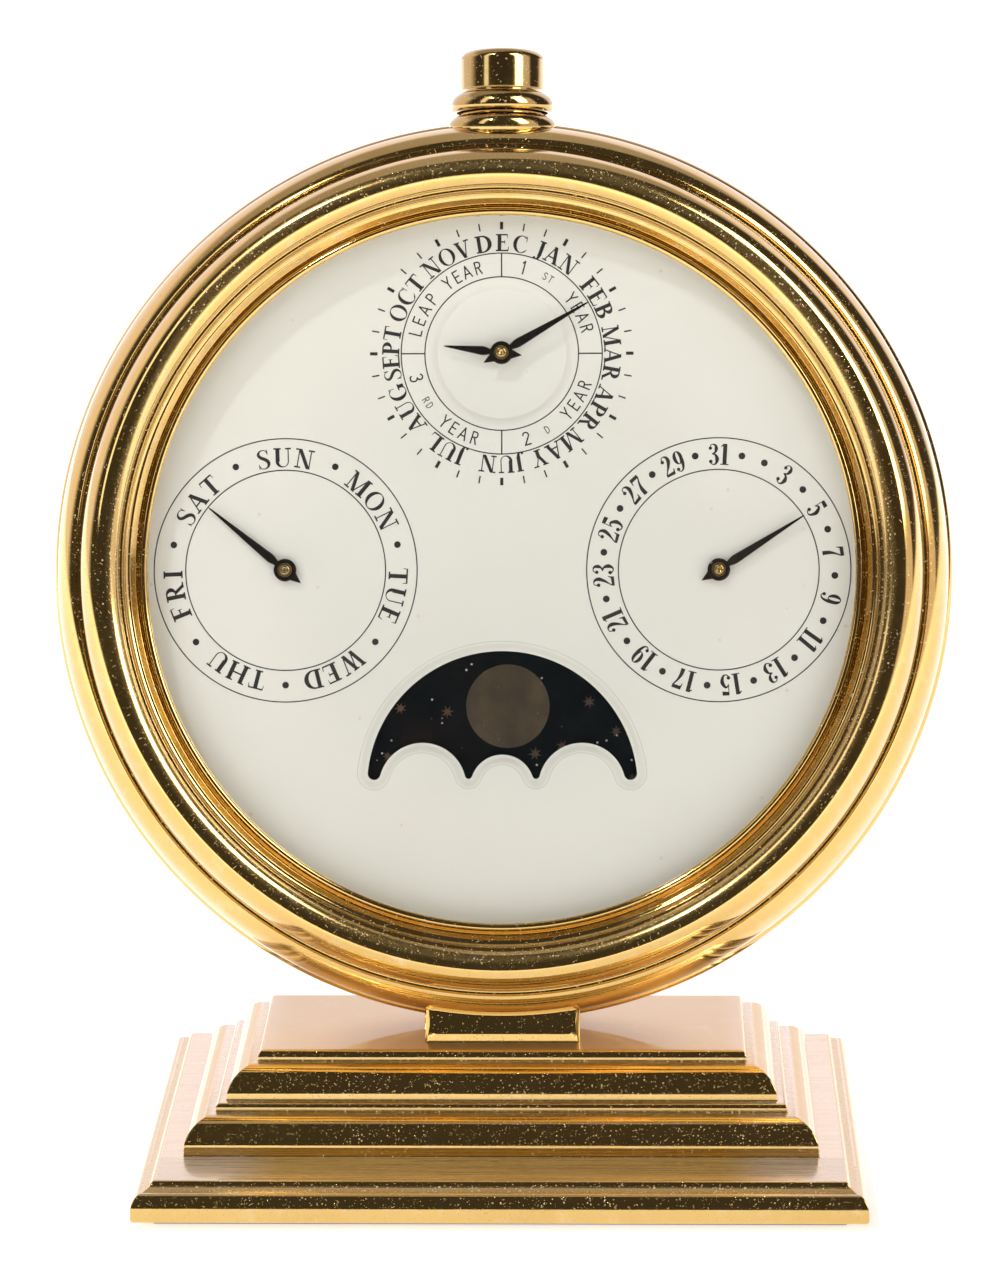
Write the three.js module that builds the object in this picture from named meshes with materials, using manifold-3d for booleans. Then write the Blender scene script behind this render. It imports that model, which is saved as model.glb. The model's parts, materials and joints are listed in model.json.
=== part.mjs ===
// Perpetual desk calendar on a stepped foot, in millimetres.
// The origin is the centre of the foot's underside, +Z is up and the dial looks towards -Y.
// The round case leans back. Its own frame has its origin in the plane of its rim, with Y going
// back into the case and Z up along the dial, and all that the case holds is written in that frame.

import * as THREE from 'three';
import { mergeVertices } from 'three/addons/utils/BufferGeometryUtils.js';
import Module from 'manifold-3d';

const wasm = await Module();
wasm.setup();

// Driving dimensions
const caseRadius = 60;
const caseRecline = THREE.MathUtils.degToRad(15);
const plateWidth = 95.2;
const plateDepth = 62.9;
const plinthHeight = 17.24;

// The dial and its moon window follow the case, and the mouldings share the ring round the dial
const dialShare = 0.82167;
const dialRadius = caseRadius * dialShare;
const moonWindowShare = 0.36511;
const moonWindowRadius = dialRadius * moonWindowShare;
const ringWidth = caseRadius - dialRadius;

// Clearances and overruns
const gap = 0.3;
const runGap = 0.1;
const seatGap = 0.05;
const overrun = 2;

// Stepped foot
const padThickness = 1.05;
const padInset = 3;
const plateEdgeTop = 2.44;
const plateOvoloTop = 4.77;
const plateOvoloWidth = 1.47;
const plateLedgeWidth = 0.95;
const plateStepHeight = 0.47;
const plateNoseWidth = 0.61;
const plateFlatTop = 5.96;
const terraceSide = 2.95;
const terraceFront = 8.5;
const terraceBack = 6.4;
const lowerFilletHeight = 0.79;
const lowerOvoloWidth = 4.03;
const lowerOvoloHeight = 3.87;
const lowerStepHeight = 0.58;
const lowerNoseWidth = 0.61;
const lowerNoseHeight = 0.57;
const lowerLedgeWidth = 0.69;
const upperFilletHeight = 0.23;
const upperOvoloWidth = 3.95;
const upperStepHeight = 0.4;
const upperNoseWidth = 0.71;
const upperNoseHeight = 1;
const plinthWall = 3;
const plinthRim = 3.2;
const floorPlateThickness = 1.6;
const floorScrewRadius = 1;
const floorScrewLength = 3.6;
const floorScrewInset = 5.6;

// Block between foot and case
const pedestalWidth = 20.6;
const pedestalFrontInset = 2.7;
const pedestalBackInset = 3.05;
const pedestalRise = 6.2;
const pedestalChamfer = 0.9;
const pedestalScrewRadius = 0.9;
const pedestalScrewHeadRadius = 1.7;
const pedestalScrewHeadHeight = 1;
const pedestalScrewEntry = 2.2;
const pedestalScrewSpreadShare = 0.36;
const footScrewRadius = 0.8;
const footScrewHeadRadius = 1.3;
const footScrewHeadHeight = 0.9;
const footScrewHeadGap = 0.6;
const footScrewEntry = 3.3;
const footScrewSpreadShare = 0.15;
const footScrewDepth = 3.3;

// Case
const caseSetback = 10.95;
const caseLift = 1.9;
const rimBeadRadiusShare = 0.13084;
const rimBeadRadius = ringWidth * rimBeadRadiusShare;
const drumStep = 3.5;
const drumFillet = 0.5;
const bandWall = 2.5;
const drumDepth = 10;
const flangeWidth = 4.2;
const flangeFront = 5.8;
const coverThickness = 1.7;
const coverDome = 0.8;
const coverInset = 0.3;
const coverChamfer = 0.6;
const coverRim = 5;
const coverScrewCount = 4;
const plateScrewCount = 3;
const pillarCount = 4;
const caseScrewRadius = 0.6;
const caseScrewHeadRadius = 1.2;
const caseScrewHeadHeight = 0.6;
const caseScrewEntry = 1.6;

// Bezel
const bezelStepShare = 0.06542;
const bezelStep = ringWidth * bezelStepShare;
const bezelRearChamfer = 0.5;
const bezelSpigotLength = 2.7;
const bezelSpigotWall = 1.1;
const outerMouldingWidthShare = 0.34579;
const outerMouldingWidth = ringWidth * outerMouldingWidthShare;
const outerMouldingHeight = 6.3;
const outerMouldingSweep = THREE.MathUtils.degToRad(80);
const grooveDepth = 0.4;
const torusWidthShare = 0.51402;
const torusWidth = ringWidth * torusWidthShare;
const torusShoulderY = -8.8;
const torusHeight = 5.2;
const torusInnerDrop = 1.4;
const bezelStepDrop = 0.6;
const bezelLedgeShare = 0.03738;
const bezelLedge = ringWidth * bezelLedgeShare;
const coveWidthShare = 0.08411;
const coveWidth = ringWidth * coveWidthShare;
const coveDrop = 1.1;
const coneWidthShare = 0.1028;
const coneWidth = ringWidth * coneWidthShare;
const coneDrop = 1;
const beadRadiusShare = 0.0514;
const beadRadius = ringWidth * beadRadiusShare;
const beadDrop = 0.2;
const crystalShoulder = 0.1;

// Crystal, its gasket and its ring
const crystalThickness = 1.4;
const crystalGap = 0.2;
const gasketWall = 0.65;
const crystalRingLip = 0.5;

// Dial
const dialFront = -4.5;
const dialThickness = 1.6;
const dialClear = 0.3;
const discMarginShare = 0.02535;
const discMargin = dialRadius * discMarginShare;
const moonDiscLapShare = 0.02637;
const moonDiscLap = dialRadius * moonDiscLapShare;
const recessFloorRadiusShare = 0.1714;
const recessFloorRadius = dialRadius * recessFloorRadiusShare;
const recessBevelWidthShare = 0.03245;
const recessBevelWidth = dialRadius * recessBevelWidthShare;
const recessDepth = 0.7;
const windowBevelWidth = 1.27;
const windowBevelDepth = 0.7;
const sideHumpRadiusShare = 0.32222;
const sideHumpRadius = moonWindowRadius * sideHumpRadiusShare;
const sideHumpOffsetShare = 0.58889;
const sideHumpOffset = moonWindowRadius * sideHumpOffsetShare;
const centreHumpRadiusShare = 0.235;
const centreHumpRadius = moonWindowRadius * centreHumpRadiusShare;
const endTipRadiusShare = 0.04833;
const endTipRadius = moonWindowRadius * endTipRadiusShare;
const middleTipRadiusShare = 0.02778;
const middleTipRadius = moonWindowRadius * middleTipRadiusShare;
const pillarRadius = 1.8;
const pillarEdgeMargin = 3.5;
const pillarPinRadius = 0.8;
const pillarPinLength = 1;

// Layers of the works, front to back
const layerThickness = 0.8;
const layerGap = 0.3;
const leverThickness = 1;
const plateThickness = 2;
const worksPlateMargin = 1.8;

// Arbors, pipes and hands
const arborRadius = 0.7;
const monthArborRadius = 0.6;
const pipeWall = 0.3;
const lowerHandGap = 1;
const handThickness = 0.4;
const handStack = 0.4;
const arborTipLength = 0.35;
const dimpleRadius = 0.35;
const dimpleDepth = 0.2;
const hubRadius = 1.5;
const bladeWidth = 1.25;
const bladeShoulder = 2.4;
const tailLength = 2.75;
const tailWidth = 1.1;
const dayHandLengthShare = 0.26775;
const dayHandLength = dialRadius * dayHandLengthShare;
const monthHandLengthShare = 0.27241;
const monthHandLength = dialRadius * monthHandLengthShare;
const dateHandLengthShare = 0.27282;
const dateHandLength = dialRadius * dateHandLengthShare;
const leapHandLengthShare = 0.15822;
const leapHandLength = dialRadius * leapHandLengthShare;
const dayHandTurn = THREE.MathUtils.degToRad(309.3);
const dateHandTurn = THREE.MathUtils.degToRad(57.6);
const monthHandTurn = THREE.MathUtils.degToRad(60);
const leapHandTurn = THREE.MathUtils.degToRad(277);
const collarRadius = 2;

// Wheels
const dateTeeth = 31;
const dateWheelRadiusShare = 0.27383;
const dateWheelRadius = dialRadius * dateWheelRadiusShare;
const dateToothDepthShare = 0.03245;
const dateToothDepth = dialRadius * dateToothDepthShare;
const dayTeeth = 7;
const dayStarRadiusShare = 0.17241;
const dayStarRadius = dialRadius * dayStarRadiusShare;
const dayToothDepthShare = 0.06085;
const dayToothDepth = dialRadius * dayToothDepthShare;
const monthTeeth = 12;
const monthStarRadiusShare = 0.14199;
const monthStarRadius = dialRadius * monthStarRadiusShare;
const monthToothDepthShare = 0.03448;
const monthToothDepth = dialRadius * monthToothDepthShare;
const moonTeeth = 59;
const moonWheelRadiusShare = 0.20284;
const moonWheelRadius = dialRadius * moonWheelRadiusShare;
const moonToothDepthShare = 0.0142;
const moonToothDepth = dialRadius * moonToothDepthShare;
const gearModuleShare = 0.01014;
const gearModule = dialRadius * gearModuleShare;
const pinionTeeth = 12;
const wheelTeeth = 24;
const addendumShare = 0.8;
const dedendumShare = 1.25;
const toothTipShare = 0.16;
const toothRootShare = 0.3;
const toothPitchShare = 0.22;
const camRadiusShare = 0.15416;
const camRadius = dialRadius * camRadiusShare;
const camSteps = 48;
const camShortDrop = 0.5;
const camFebruaryDrop = 1.4;
const camLeapDrop = 1;
const windowCountInWheel = 4;
const windowShare = 0.19;
const windowPlaceShare = 0.58;

// Button and its collar on the case
const buttonRadius = 5.4;
const buttonTopRadius = 2.5;
const buttonRise = 9.5;
const buttonShoulder = 1.9;
const buttonSkirt = 3;
const buttonNeckRadius = 5;
const buttonRingRadius = 6.9;
const buttonNeckHeight = 0.7;
const buttonRingUpper = 1.95;
const buttonRingLower = 0.75;
const buttonLipOuter = 6.5;
const buttonLipWall = 0.4;
const buttonHollowDepth = 1.3;
const collarNeckRadius = 5.6;
const collarNeckLap = 0.3;
const collarBeadWidth = 1.66;
const collarBeadUpper = 1.6;
const collarNeckHeight = 0.45;
const collarBeadLower = 1.55;
const stemRadius = 1;
const stemSeatDepth = 2.4;
const sleeveWall = 0.6;
const sleeveProtrusion = 0.8;
const sleeveFloor = 1.5;
const springWire = 0.5;
const springRadius = 2.3;
const springTurns = 6;
const clipThickness = 0.6;
const clipRadius = 2.2;
const footLength = 1.1;

// Great lever, clicks and jumpers
const leverPivotShares = [0.696, 1.322];
const leverWaistShares = [0.557, 0.835];
const leverElbowShares = [0.452, 0.313];
const leverWidthShare = 0.06491;
const leverWidth = dialRadius * leverWidthShare;
const leverStudRadius = 1;
const leverPadLength = 2.6;
const leverPadRise = 1.5;
const clickReachShare = 0.06085;
const clickReach = dialRadius * clickReachShare;
const clickRadius = 1.2;
const clickPinRadius = 0.5;
const clickTip = 0.2;
const clickClear = 1.05;
const dayClickAngle = THREE.MathUtils.degToRad(62);
const dateClickAngle = THREE.MathUtils.degToRad(119);
const moonClickAngle = THREE.MathUtils.degToRad(94);
const clickRise = THREE.MathUtils.degToRad(20);
const feelerAngle = THREE.MathUtils.degToRad(43);
const feelerReachShare = 0.08519;
const feelerReach = dialRadius * feelerReachShare;
const feelerPost = 0.8;
const feelerClear = 0.5;
const jumperNose = 1.1;
const jumperArm = 0.9;
const jumperReachShare = 0.22312;
const jumperReach = dialRadius * jumperReachShare;
const jumperClear = 0.35;
const jumperFootRadius = 1.8;
const rivetRadius = 0.6;
const idlerStudRadius = 0.7;
const studHeadShare = 1.4;
const springBladeWidth = 0.5;
const springBladeLengthShare = 0.18256;
const springBladeLength = dialRadius * springBladeLengthShare;
const springBladeDropShare = 0.07789;
const springBladeDrop = dialRadius * springBladeDropShare;
const springFootRadius = 1.5;

// Finish of each kind of piece
const finish = {
  gilt: new THREE.MeshStandardMaterial({ color: 0xd9a24e, roughness: 0.14, metalness: 1 }),
  works: new THREE.MeshStandardMaterial({ color: 0xc2a05c, roughness: 0.35, metalness: 1 }),
  steel: new THREE.MeshStandardMaterial({ color: 0x9a9c9e, roughness: 0.3, metalness: 1 }),
  black: new THREE.MeshStandardMaterial({ color: 0x14110f, roughness: 0.25, metalness: 0.2 }),
  dial: new THREE.MeshStandardMaterial({ color: 0xe9e4d8, roughness: 0.5, metalness: 0 }),
  night: new THREE.MeshStandardMaterial({ color: 0x0a0d18, roughness: 0.3, metalness: 0 }),
  glass: new THREE.MeshStandardMaterial({
    color: 0xf4f8f8,
    roughness: 0.03,
    metalness: 0,
    transparent: true,
    opacity: 0.2,
  }),
  rubber: new THREE.MeshStandardMaterial({ color: 0x22201e, roughness: 0.8, metalness: 0 }),
  felt: new THREE.MeshStandardMaterial({ color: 0x2a2723, roughness: 0.95, metalness: 0 }),
};

// Solids and booleans
function toSolid(geometry) {
  const bare = geometry.clone();
  bare.deleteAttribute('normal');
  bare.deleteAttribute('uv');
  const merged = mergeVertices(bare);
  const vertProperties = new Float32Array(merged.attributes.position.array);
  const triVerts = new Uint32Array(merged.index.array);
  return new wasm.Manifold(new wasm.Mesh({ numProp: 3, vertProperties, triVerts }));
}

function toGeometry(solid) {
  const mesh = solid.getMesh();
  const geometry = new THREE.BufferGeometry();
  const positions = new Float32Array(mesh.vertProperties);
  geometry.setAttribute('position', new THREE.BufferAttribute(positions, mesh.numProp));
  geometry.setIndex(new THREE.BufferAttribute(new Uint32Array(mesh.triVerts), 1));
  return geometry;
}

function join(...pieces) {
  return toGeometry(pieces.map(toSolid).reduce((whole, piece) => whole.add(piece)));
}

function cut(base, ...tools) {
  return toGeometry(tools.map(toSolid).reduce((whole, tool) => whole.subtract(tool), toSolid(base)));
}

// Fewer sides on small rounds
function sidesFor(radius) {
  if (radius < hubRadius) return 8;
  if (radius < pillarRadius + hubRadius) return 12;
  if (radius < dateWheelRadius) return 24;
  return 36;
}

// A turned piece round the Y axis, from a closed profile of [radius, depth] points
function turned(profile, sides) {
  const points = profile.map(([radius, depth]) => new THREE.Vector2(radius, depth));
  if (THREE.ShapeUtils.area(points) < 0) points.reverse();
  const onAxis = points.findIndex((point, index) => {
    const before = points[(index + points.length - 1) % points.length];
    return point.x === 0 && before.x === 0;
  });
  const start = Math.max(onAxis, 0);
  const ordered = [...points.slice(start), ...points.slice(0, start)];
  if (onAxis < 0) ordered.push(ordered[0].clone());
  const widest = Math.max(...profile.map(([radius]) => radius));
  return new THREE.LatheGeometry(ordered, sides ?? sidesFor(widest));
}

// Points of a quarter or other stretch of an ellipse, as [radius, depth] pairs
function arc(centre, across, along, from, to, steps) {
  return Array.from({ length: steps + 1 }, (_, step) => {
    const angle = THREE.MathUtils.lerp(from, to, step / steps);
    return [centre[0] + across * Math.cos(angle), centre[1] + along * Math.sin(angle)];
  });
}

// A round rod along Y between two depths, round the point [x, z]
function rod(radius, front, back, place = [0, 0]) {
  const geometry = new THREE.CylinderGeometry(radius, radius, back - front, sidesFor(radius));
  return geometry.translate(place[0], (front + back) / 2, place[1]);
}

// A flat piece between two depths, from an outline drawn in X and Z
function slab(shape, front, back, curveSegments = 12) {
  const options = { depth: back - front, bevelEnabled: false, curveSegments };
  const geometry = new THREE.ExtrudeGeometry(shape, options);
  return geometry.rotateX(Math.PI / 2).translate(0, back, 0);
}

function shapeOf(points) {
  const outline = points.map(([x, z]) => new THREE.Vector2(x, z));
  if (THREE.ShapeUtils.area(outline) < 0) outline.reverse();
  return new THREE.Shape(outline);
}

// A straight bar with round ends between two places in X and Z
function bar(from, to, width, front, back) {
  const heading = Math.atan2(to[1] - from[1], to[0] - from[0]);
  const shape = new THREE.Shape();
  shape.absarc(from[0], from[1], width / 2, heading + Math.PI / 2, heading - Math.PI / 2, false);
  shape.absarc(to[0], to[1], width / 2, heading - Math.PI / 2, heading + Math.PI / 2, false);
  return slab(shape, front, back, 5);
}

function polar(centre, radius, angle) {
  return [centre[0] + radius * Math.cos(angle), centre[1] + radius * Math.sin(angle)];
}

function circleHole(radius, place = [0, 0]) {
  return new THREE.Path().absarc(place[0], place[1], radius, 0, 2 * Math.PI, true);
}

function around(count, radius, start = 0, centre = [0, 0]) {
  const pitch = (2 * Math.PI) / count;
  return Array.from({ length: count }, (_, index) => polar(centre, radius, start + index * pitch));
}

// Where two circles tangent to a third one of the given radius put its centre
function crossing(centre, first, offset, second) {
  const x = (first ** 2 - second ** 2 + offset ** 2) / (2 * offset);
  return [centre[0] + x, centre[1] + Math.sqrt(first ** 2 - x ** 2)];
}

// The scene: the stand in the model's own frame, the case in its leaning frame
const calendar = new THREE.Group();
const caseGroup = new THREE.Group();
calendar.add(caseGroup);

function addTo(parent, name, geometry, material) {
  const mesh = new THREE.Mesh(geometry, material);
  mesh.name = name;
  parent.add(mesh);
  return mesh;
}

// One node for each copy of a repeated piece, numbered from 1
function addEach(parent, name, places, make, material) {
  places.forEach((place, index) => addTo(parent, `${name}_${index + 1}`, make(place), material));
}

// Places that follow from the sizes above
const plateHalf = [plateWidth / 2, plateDepth / 2];
const plateNoseInset = plateOvoloWidth + plateLedgeWidth;
const plateNoseBottom = plateOvoloTop + plateStepHeight;
const mouldingWidth = plateNoseInset + plateNoseWidth;
const lowerHalfWidth = plateHalf[0] - mouldingWidth - terraceSide;
const lowerFront = mouldingWidth + terraceFront - plateHalf[1];
const lowerBack = plateHalf[1] - mouldingWidth - terraceBack;
const upperFoot = lowerOvoloWidth + lowerNoseWidth + lowerLedgeWidth;
const upperNoseInset = upperFoot + upperOvoloWidth;
const tiersInset = upperNoseInset + upperNoseWidth;
const topHalfWidth = lowerHalfWidth - tiersInset;
const topFront = lowerFront + tiersInset;
const topBack = lowerBack - tiersInset;
const topCentreY = (topFront + topBack) / 2;
const lowerOvoloBottom = plateFlatTop + lowerFilletHeight;
const lowerOvoloTop = lowerOvoloBottom + lowerOvoloHeight;
const lowerNoseBottom = lowerOvoloTop + lowerStepHeight;
const lowerTierTop = lowerNoseBottom + lowerNoseHeight;
const upperOvoloBottom = lowerTierTop + upperFilletHeight;
const upperNoseBottom = plinthHeight - upperNoseHeight;
const upperOvoloTop = upperNoseBottom - upperStepHeight;
const cavityRoof = plinthHeight - plinthWall;
const pedestalFront = topFront + pedestalFrontInset;
const pedestalBack = topBack - pedestalBackInset;
const casePosition = new THREE.Vector3(
  0,
  topCentreY + caseSetback,
  plinthHeight + caseLift + caseRadius * Math.cos(caseRecline),
);
caseGroup.position.copy(casePosition);
caseGroup.rotation.x = -caseRecline;
caseGroup.updateMatrixWorld(true);

const rimCentre = caseRadius - rimBeadRadius;
const drumRadius = caseRadius - drumStep;
const bandBore = drumRadius - bandWall;
const flangeBore = bandBore - flangeWidth;
const flangeMiddle = flangeBore + flangeWidth / 2;
const bezelRear = -rimBeadRadius - gap;
const bezelRadius = caseRadius - bezelStep;
const bezelBore = dialRadius + dialClear;
const torusOuter = bezelRadius - outerMouldingWidth;
const torusInner = torusOuter - torusWidth;
const torusCrest = torusShoulderY - torusHeight;
const torusInnerY = torusCrest + torusInnerDrop;
const ledgeY = torusInnerY + bezelStepDrop;
const coveInner = torusInner - bezelLedge - coveWidth;
const coneY = ledgeY + coveDrop;
const beadCentre = [coveInner - coneWidth - beadRadius, coneY + coneDrop + beadDrop];
const crystalSeat = beadCentre[1] + beadRadius + crystalShoulder;
const crystalFront = crystalSeat + crystalGap;
const crystalBack = crystalFront + crystalThickness;
const crystalRadius = bezelBore - gap - gasketWall - runGap;
const coverFront = drumDepth + gap;
const coverBack = coverFront + coverThickness;

const dialBack = dialFront + dialThickness;
const moonDiscRadius = moonWindowRadius + moonDiscLap;
const subDialOffset = dialRadius - moonDiscRadius - discMargin;
const dayCentre = [-subDialOffset, 0];
const dateCentre = [subDialOffset, 0];
const monthCentre = [0, subDialOffset];
const moonCentre = [0, -subDialOffset];
const layerPitch = layerThickness + layerGap;
const firstLayer = dialBack + layerGap;
const layer = (index) => firstLayer + index * layerPitch;
const starLayer = layer(3);
const leverLayer = layer(4);
const worksPlateFront = leverLayer + leverThickness + layerGap;
const worksPlateBack = worksPlateFront + plateThickness;
const worksPlateRadius = bandBore - worksPlateMargin;
const lowerHandBack = dialFront - lowerHandGap;
const lowerHandFront = lowerHandBack - handThickness;
const upperHandBack = lowerHandFront - handStack;
const upperHandFront = upperHandBack - handThickness;
const arborFront = upperHandFront - arborTipLength;
const gearDistance = (gearModule * (pinionTeeth + wheelTeeth)) / 2;
const idlerDirection = -Math.PI / 4;
const idlerCentre = polar(monthCentre, gearDistance, idlerDirection);
const pipeInner = monthArborRadius + runGap;
const pipeOuter = pipeInner + pipeWall;

// Foot: pad, hollow casting and floor plate
function block(halfX, front, back, bottom, top) {
  const geometry = new THREE.BoxGeometry(2 * halfX, back - front, top - bottom);
  return geometry.translate(0, (front + back) / 2, (bottom + top) / 2);
}

// A moulding that goes round the foot: [inset, height] points swept round a rectangle
function moulded(profile, halfX, front, back) {
  const rings = profile.map(([inset, height]) => [
    [-halfX + inset, front + inset, height],
    [halfX - inset, front + inset, height],
    [halfX - inset, back - inset, height],
    [-halfX + inset, back - inset, height],
  ]);
  const positions = rings.flat(2);
  const index = [0, 2, 1, 0, 3, 2];
  for (let ring = 0; ring + 1 < rings.length; ring += 1) {
    for (let side = 0; side < 4; side += 1) {
      const low = ring * 4 + side;
      const lowNext = ring * 4 + ((side + 1) % 4);
      index.push(low, lowNext, lowNext + 4, low, lowNext + 4, low + 4);
    }
  }
  const last = (rings.length - 1) * 4;
  index.push(last, last + 1, last + 2, last, last + 2, last + 3);
  const geometry = new THREE.BufferGeometry();
  geometry.setAttribute('position', new THREE.Float32BufferAttribute(positions, 3));
  geometry.setIndex(index);
  return geometry;
}

// A quarter-round that rises from its outer foot to its inner top
function ovolo(startInset, bottom, width, height) {
  return arc([startInset + width, bottom], -width, height, 0, Math.PI / 2, 6);
}

function plinthBody() {
  const plate = moulded([
    [0, padThickness],
    ...ovolo(0, plateEdgeTop, plateOvoloWidth, plateOvoloTop - plateEdgeTop),
    [plateNoseInset, plateOvoloTop],
    ...ovolo(plateNoseInset, plateNoseBottom, plateNoseWidth, plateFlatTop - plateNoseBottom),
  ], plateHalf[0], -plateHalf[1], plateHalf[1]);
  const tiers = moulded([
    [0, plateEdgeTop],
    ...ovolo(0, lowerOvoloBottom, lowerOvoloWidth, lowerOvoloHeight),
    ...ovolo(lowerOvoloWidth, lowerNoseBottom, lowerNoseWidth, lowerNoseHeight),
    [upperFoot, lowerTierTop],
    ...ovolo(upperFoot, upperOvoloBottom, upperOvoloWidth, upperOvoloTop - upperOvoloBottom),
    ...ovolo(upperNoseInset, upperNoseBottom, upperNoseWidth, upperNoseHeight),
  ], lowerHalfWidth, lowerFront, lowerBack);
  return join(plate, tiers);
}

const recessTop = padThickness + floorPlateThickness + gap;
const recessHalf = [plateHalf[0] - plinthRim, plateHalf[1] - plinthRim];
const floorScrewPlaces = [[-1, -1], [1, -1], [1, 1], [-1, 1]].map(([sideX, sideY]) => [
  sideX * (recessHalf[0] - floorScrewInset),
  sideY * (recessHalf[1] - floorScrewInset),
]);
const pedestalScrewPlaces = [-1, 1].map((side) => [
  side * pedestalWidth * pedestalScrewSpreadShare,
  (pedestalFront + pedestalBack) / 2,
]);
const footScrewPlaces = [-1, 1].map((side) => side * pedestalWidth * footScrewSpreadShare);

// A round rod along Z between two heights, round the point [x, y]
function post(radius, bottom, top, place) {
  const geometry = new THREE.CylinderGeometry(radius, radius, top - bottom, sidesFor(radius));
  return geometry.rotateX(Math.PI / 2).translate(place[0], place[1], (bottom + top) / 2);
}

function plinth() {
  const lowerCavityTop = lowerTierTop - plinthWall;
  const cavityInset = lowerOvoloWidth + plinthWall;
  const tools = [
    block(recessHalf[0], -recessHalf[1], recessHalf[1], padThickness - overrun, recessTop),
    block(lowerHalfWidth - cavityInset, lowerFront + cavityInset, lowerBack - cavityInset,
      padThickness, lowerCavityTop),
    block(topHalfWidth - plinthWall, topFront + plinthWall, topBack - plinthWall, padThickness, cavityRoof),
    ...floorScrewPlaces.map((place) => post(floorScrewRadius + runGap, padThickness,
      recessTop + floorScrewLength - floorPlateThickness, place)),
    ...pedestalScrewPlaces.map((place) => post(pedestalScrewRadius + runGap, cavityRoof - overrun,
      plinthHeight + overrun, place)),
  ];
  return cut(plinthBody(), ...tools);
}

function floorPlate() {
  const plate = block(recessHalf[0] - gap, gap - recessHalf[1], recessHalf[1] - gap,
    padThickness + seatGap, padThickness + seatGap + floorPlateThickness);
  return cut(plate, ...floorScrewPlaces.map((place) => post(floorScrewRadius + runGap, 0,
    padThickness + floorPlateThickness + overrun, place)));
}

function floorScrew(place) {
  return post(floorScrewRadius, padThickness + seatGap, padThickness + floorScrewLength, place);
}

const padHalf = plateHalf.map((half) => half - padInset);

addTo(calendar, 'felt_pad', block(padHalf[0], -padHalf[1], padHalf[1], 0, padThickness), finish.felt);
addTo(calendar, 'plinth', plinth(), finish.gilt);
addTo(calendar, 'floor_plate', floorPlate(), finish.works);
addEach(calendar, 'floor_plate_screw', floorScrewPlaces, floorScrew, finish.steel);

// The outside of the case as one turned solid, drawn larger by a clearance
function outerMoulding(clearance, steps) {
  return arc([torusOuter, bezelRear - bezelRearChamfer], outerMouldingWidth + clearance,
    -(outerMouldingHeight + clearance), 0, outerMouldingSweep, steps);
}

function rimBead(clearance, steps) {
  const size = rimBeadRadius + clearance;
  return arc([rimCentre, 0], size, size, -Math.PI / 2, Math.PI / 2, steps);
}

function caseEnvelope(clearance) {
  return turned([
    [0, torusShoulderY - outerMouldingHeight],
    [torusOuter, torusShoulderY - outerMouldingHeight],
    ...outerMoulding(clearance, 6).reverse(),
    [bezelRadius - bezelRearChamfer + clearance, bezelRear],
    ...rimBead(clearance, 4),
    [drumRadius + clearance, rimBeadRadius + clearance],
    [drumRadius + clearance, coverBack + coverDome + gap],
    [0, coverBack + coverDome + gap],
  ]);
}

function inModel(geometry) {
  return geometry.applyMatrix4(caseGroup.matrixWorld);
}

// Block under the case: front edges bevelled from nothing at the top to full width below
function pedestal() {
  const bottom = plinthHeight + seatGap;
  const top = bottom + pedestalRise;
  const body = block(pedestalWidth / 2, pedestalFront, pedestalBack, bottom, top);
  const bevel = (side) => {
    const outer = side * (pedestalWidth / 2 + overrun);
    const flat = side * (pedestalWidth / 2 - pedestalChamfer);
    const wedge = shapeOf([
      [flat, pedestalFront - overrun],
      [outer, pedestalFront - overrun],
      [outer, pedestalFront + pedestalChamfer + overrun],
      [flat, pedestalFront],
    ]);
    return new THREE.ExtrudeGeometry(wedge, { depth: top - bottom + overrun, bevelEnabled: false })
      .translate(0, 0, bottom - overrun / 2);
  };
  const screwHoles = pedestalScrewPlaces.map((place) => post(pedestalScrewRadius + runGap,
    bottom - overrun, plinthHeight + pedestalScrewEntry + gap, place));
  const footHoles = footScrewPlaces.map((x) => inModel(footScrew(x, runGap)));
  return cut(body, bevel(-1), bevel(1), inModel(caseEnvelope(gap)), ...screwHoles, ...footHoles);
}

function footScrew(x, clearance) {
  const underHead = footScrewHeadGap - bandBore;
  const tip = -drumRadius - gap - footScrewEntry - clearance;
  const shankTop = underHead + footScrewHeadHeight / 2;
  const shank = post(footScrewRadius + clearance, tip, shankTop, [x, footScrewDepth]);
  const overHead = underHead + footScrewHeadHeight;
  const head = post(footScrewHeadRadius + clearance, underHead, overHead, [x, footScrewDepth]);
  return join(shank, head);
}

function pedestalScrew(place) {
  const underRoof = cavityRoof - gap;
  const shankBottom = underRoof - pedestalScrewHeadHeight / 2;
  return join(
    post(pedestalScrewRadius, shankBottom, plinthHeight + pedestalScrewEntry, place),
    post(pedestalScrewHeadRadius, underRoof - pedestalScrewHeadHeight, underRoof, place),
  );
}

addTo(calendar, 'pedestal', pedestal(), finish.gilt);
addEach(calendar, 'pedestal_screw', pedestalScrewPlaces, pedestalScrew, finish.steel);
addEach(caseGroup, 'case_foot_screw', footScrewPlaces, (x) => footScrew(x, 0), finish.steel);

// Case band with its rim bead, drum and inner flange
const collarBore = springRadius + springWire / 2 + gap;
const collarSleeveRadius = collarBore + sleeveWall;
const plateScrewPlaces = around(plateScrewCount, (flangeBore + worksPlateRadius) / 2, Math.PI / 12);
const coverScrewPlaces = around(coverScrewCount, flangeMiddle, Math.PI / coverScrewCount);

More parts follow.
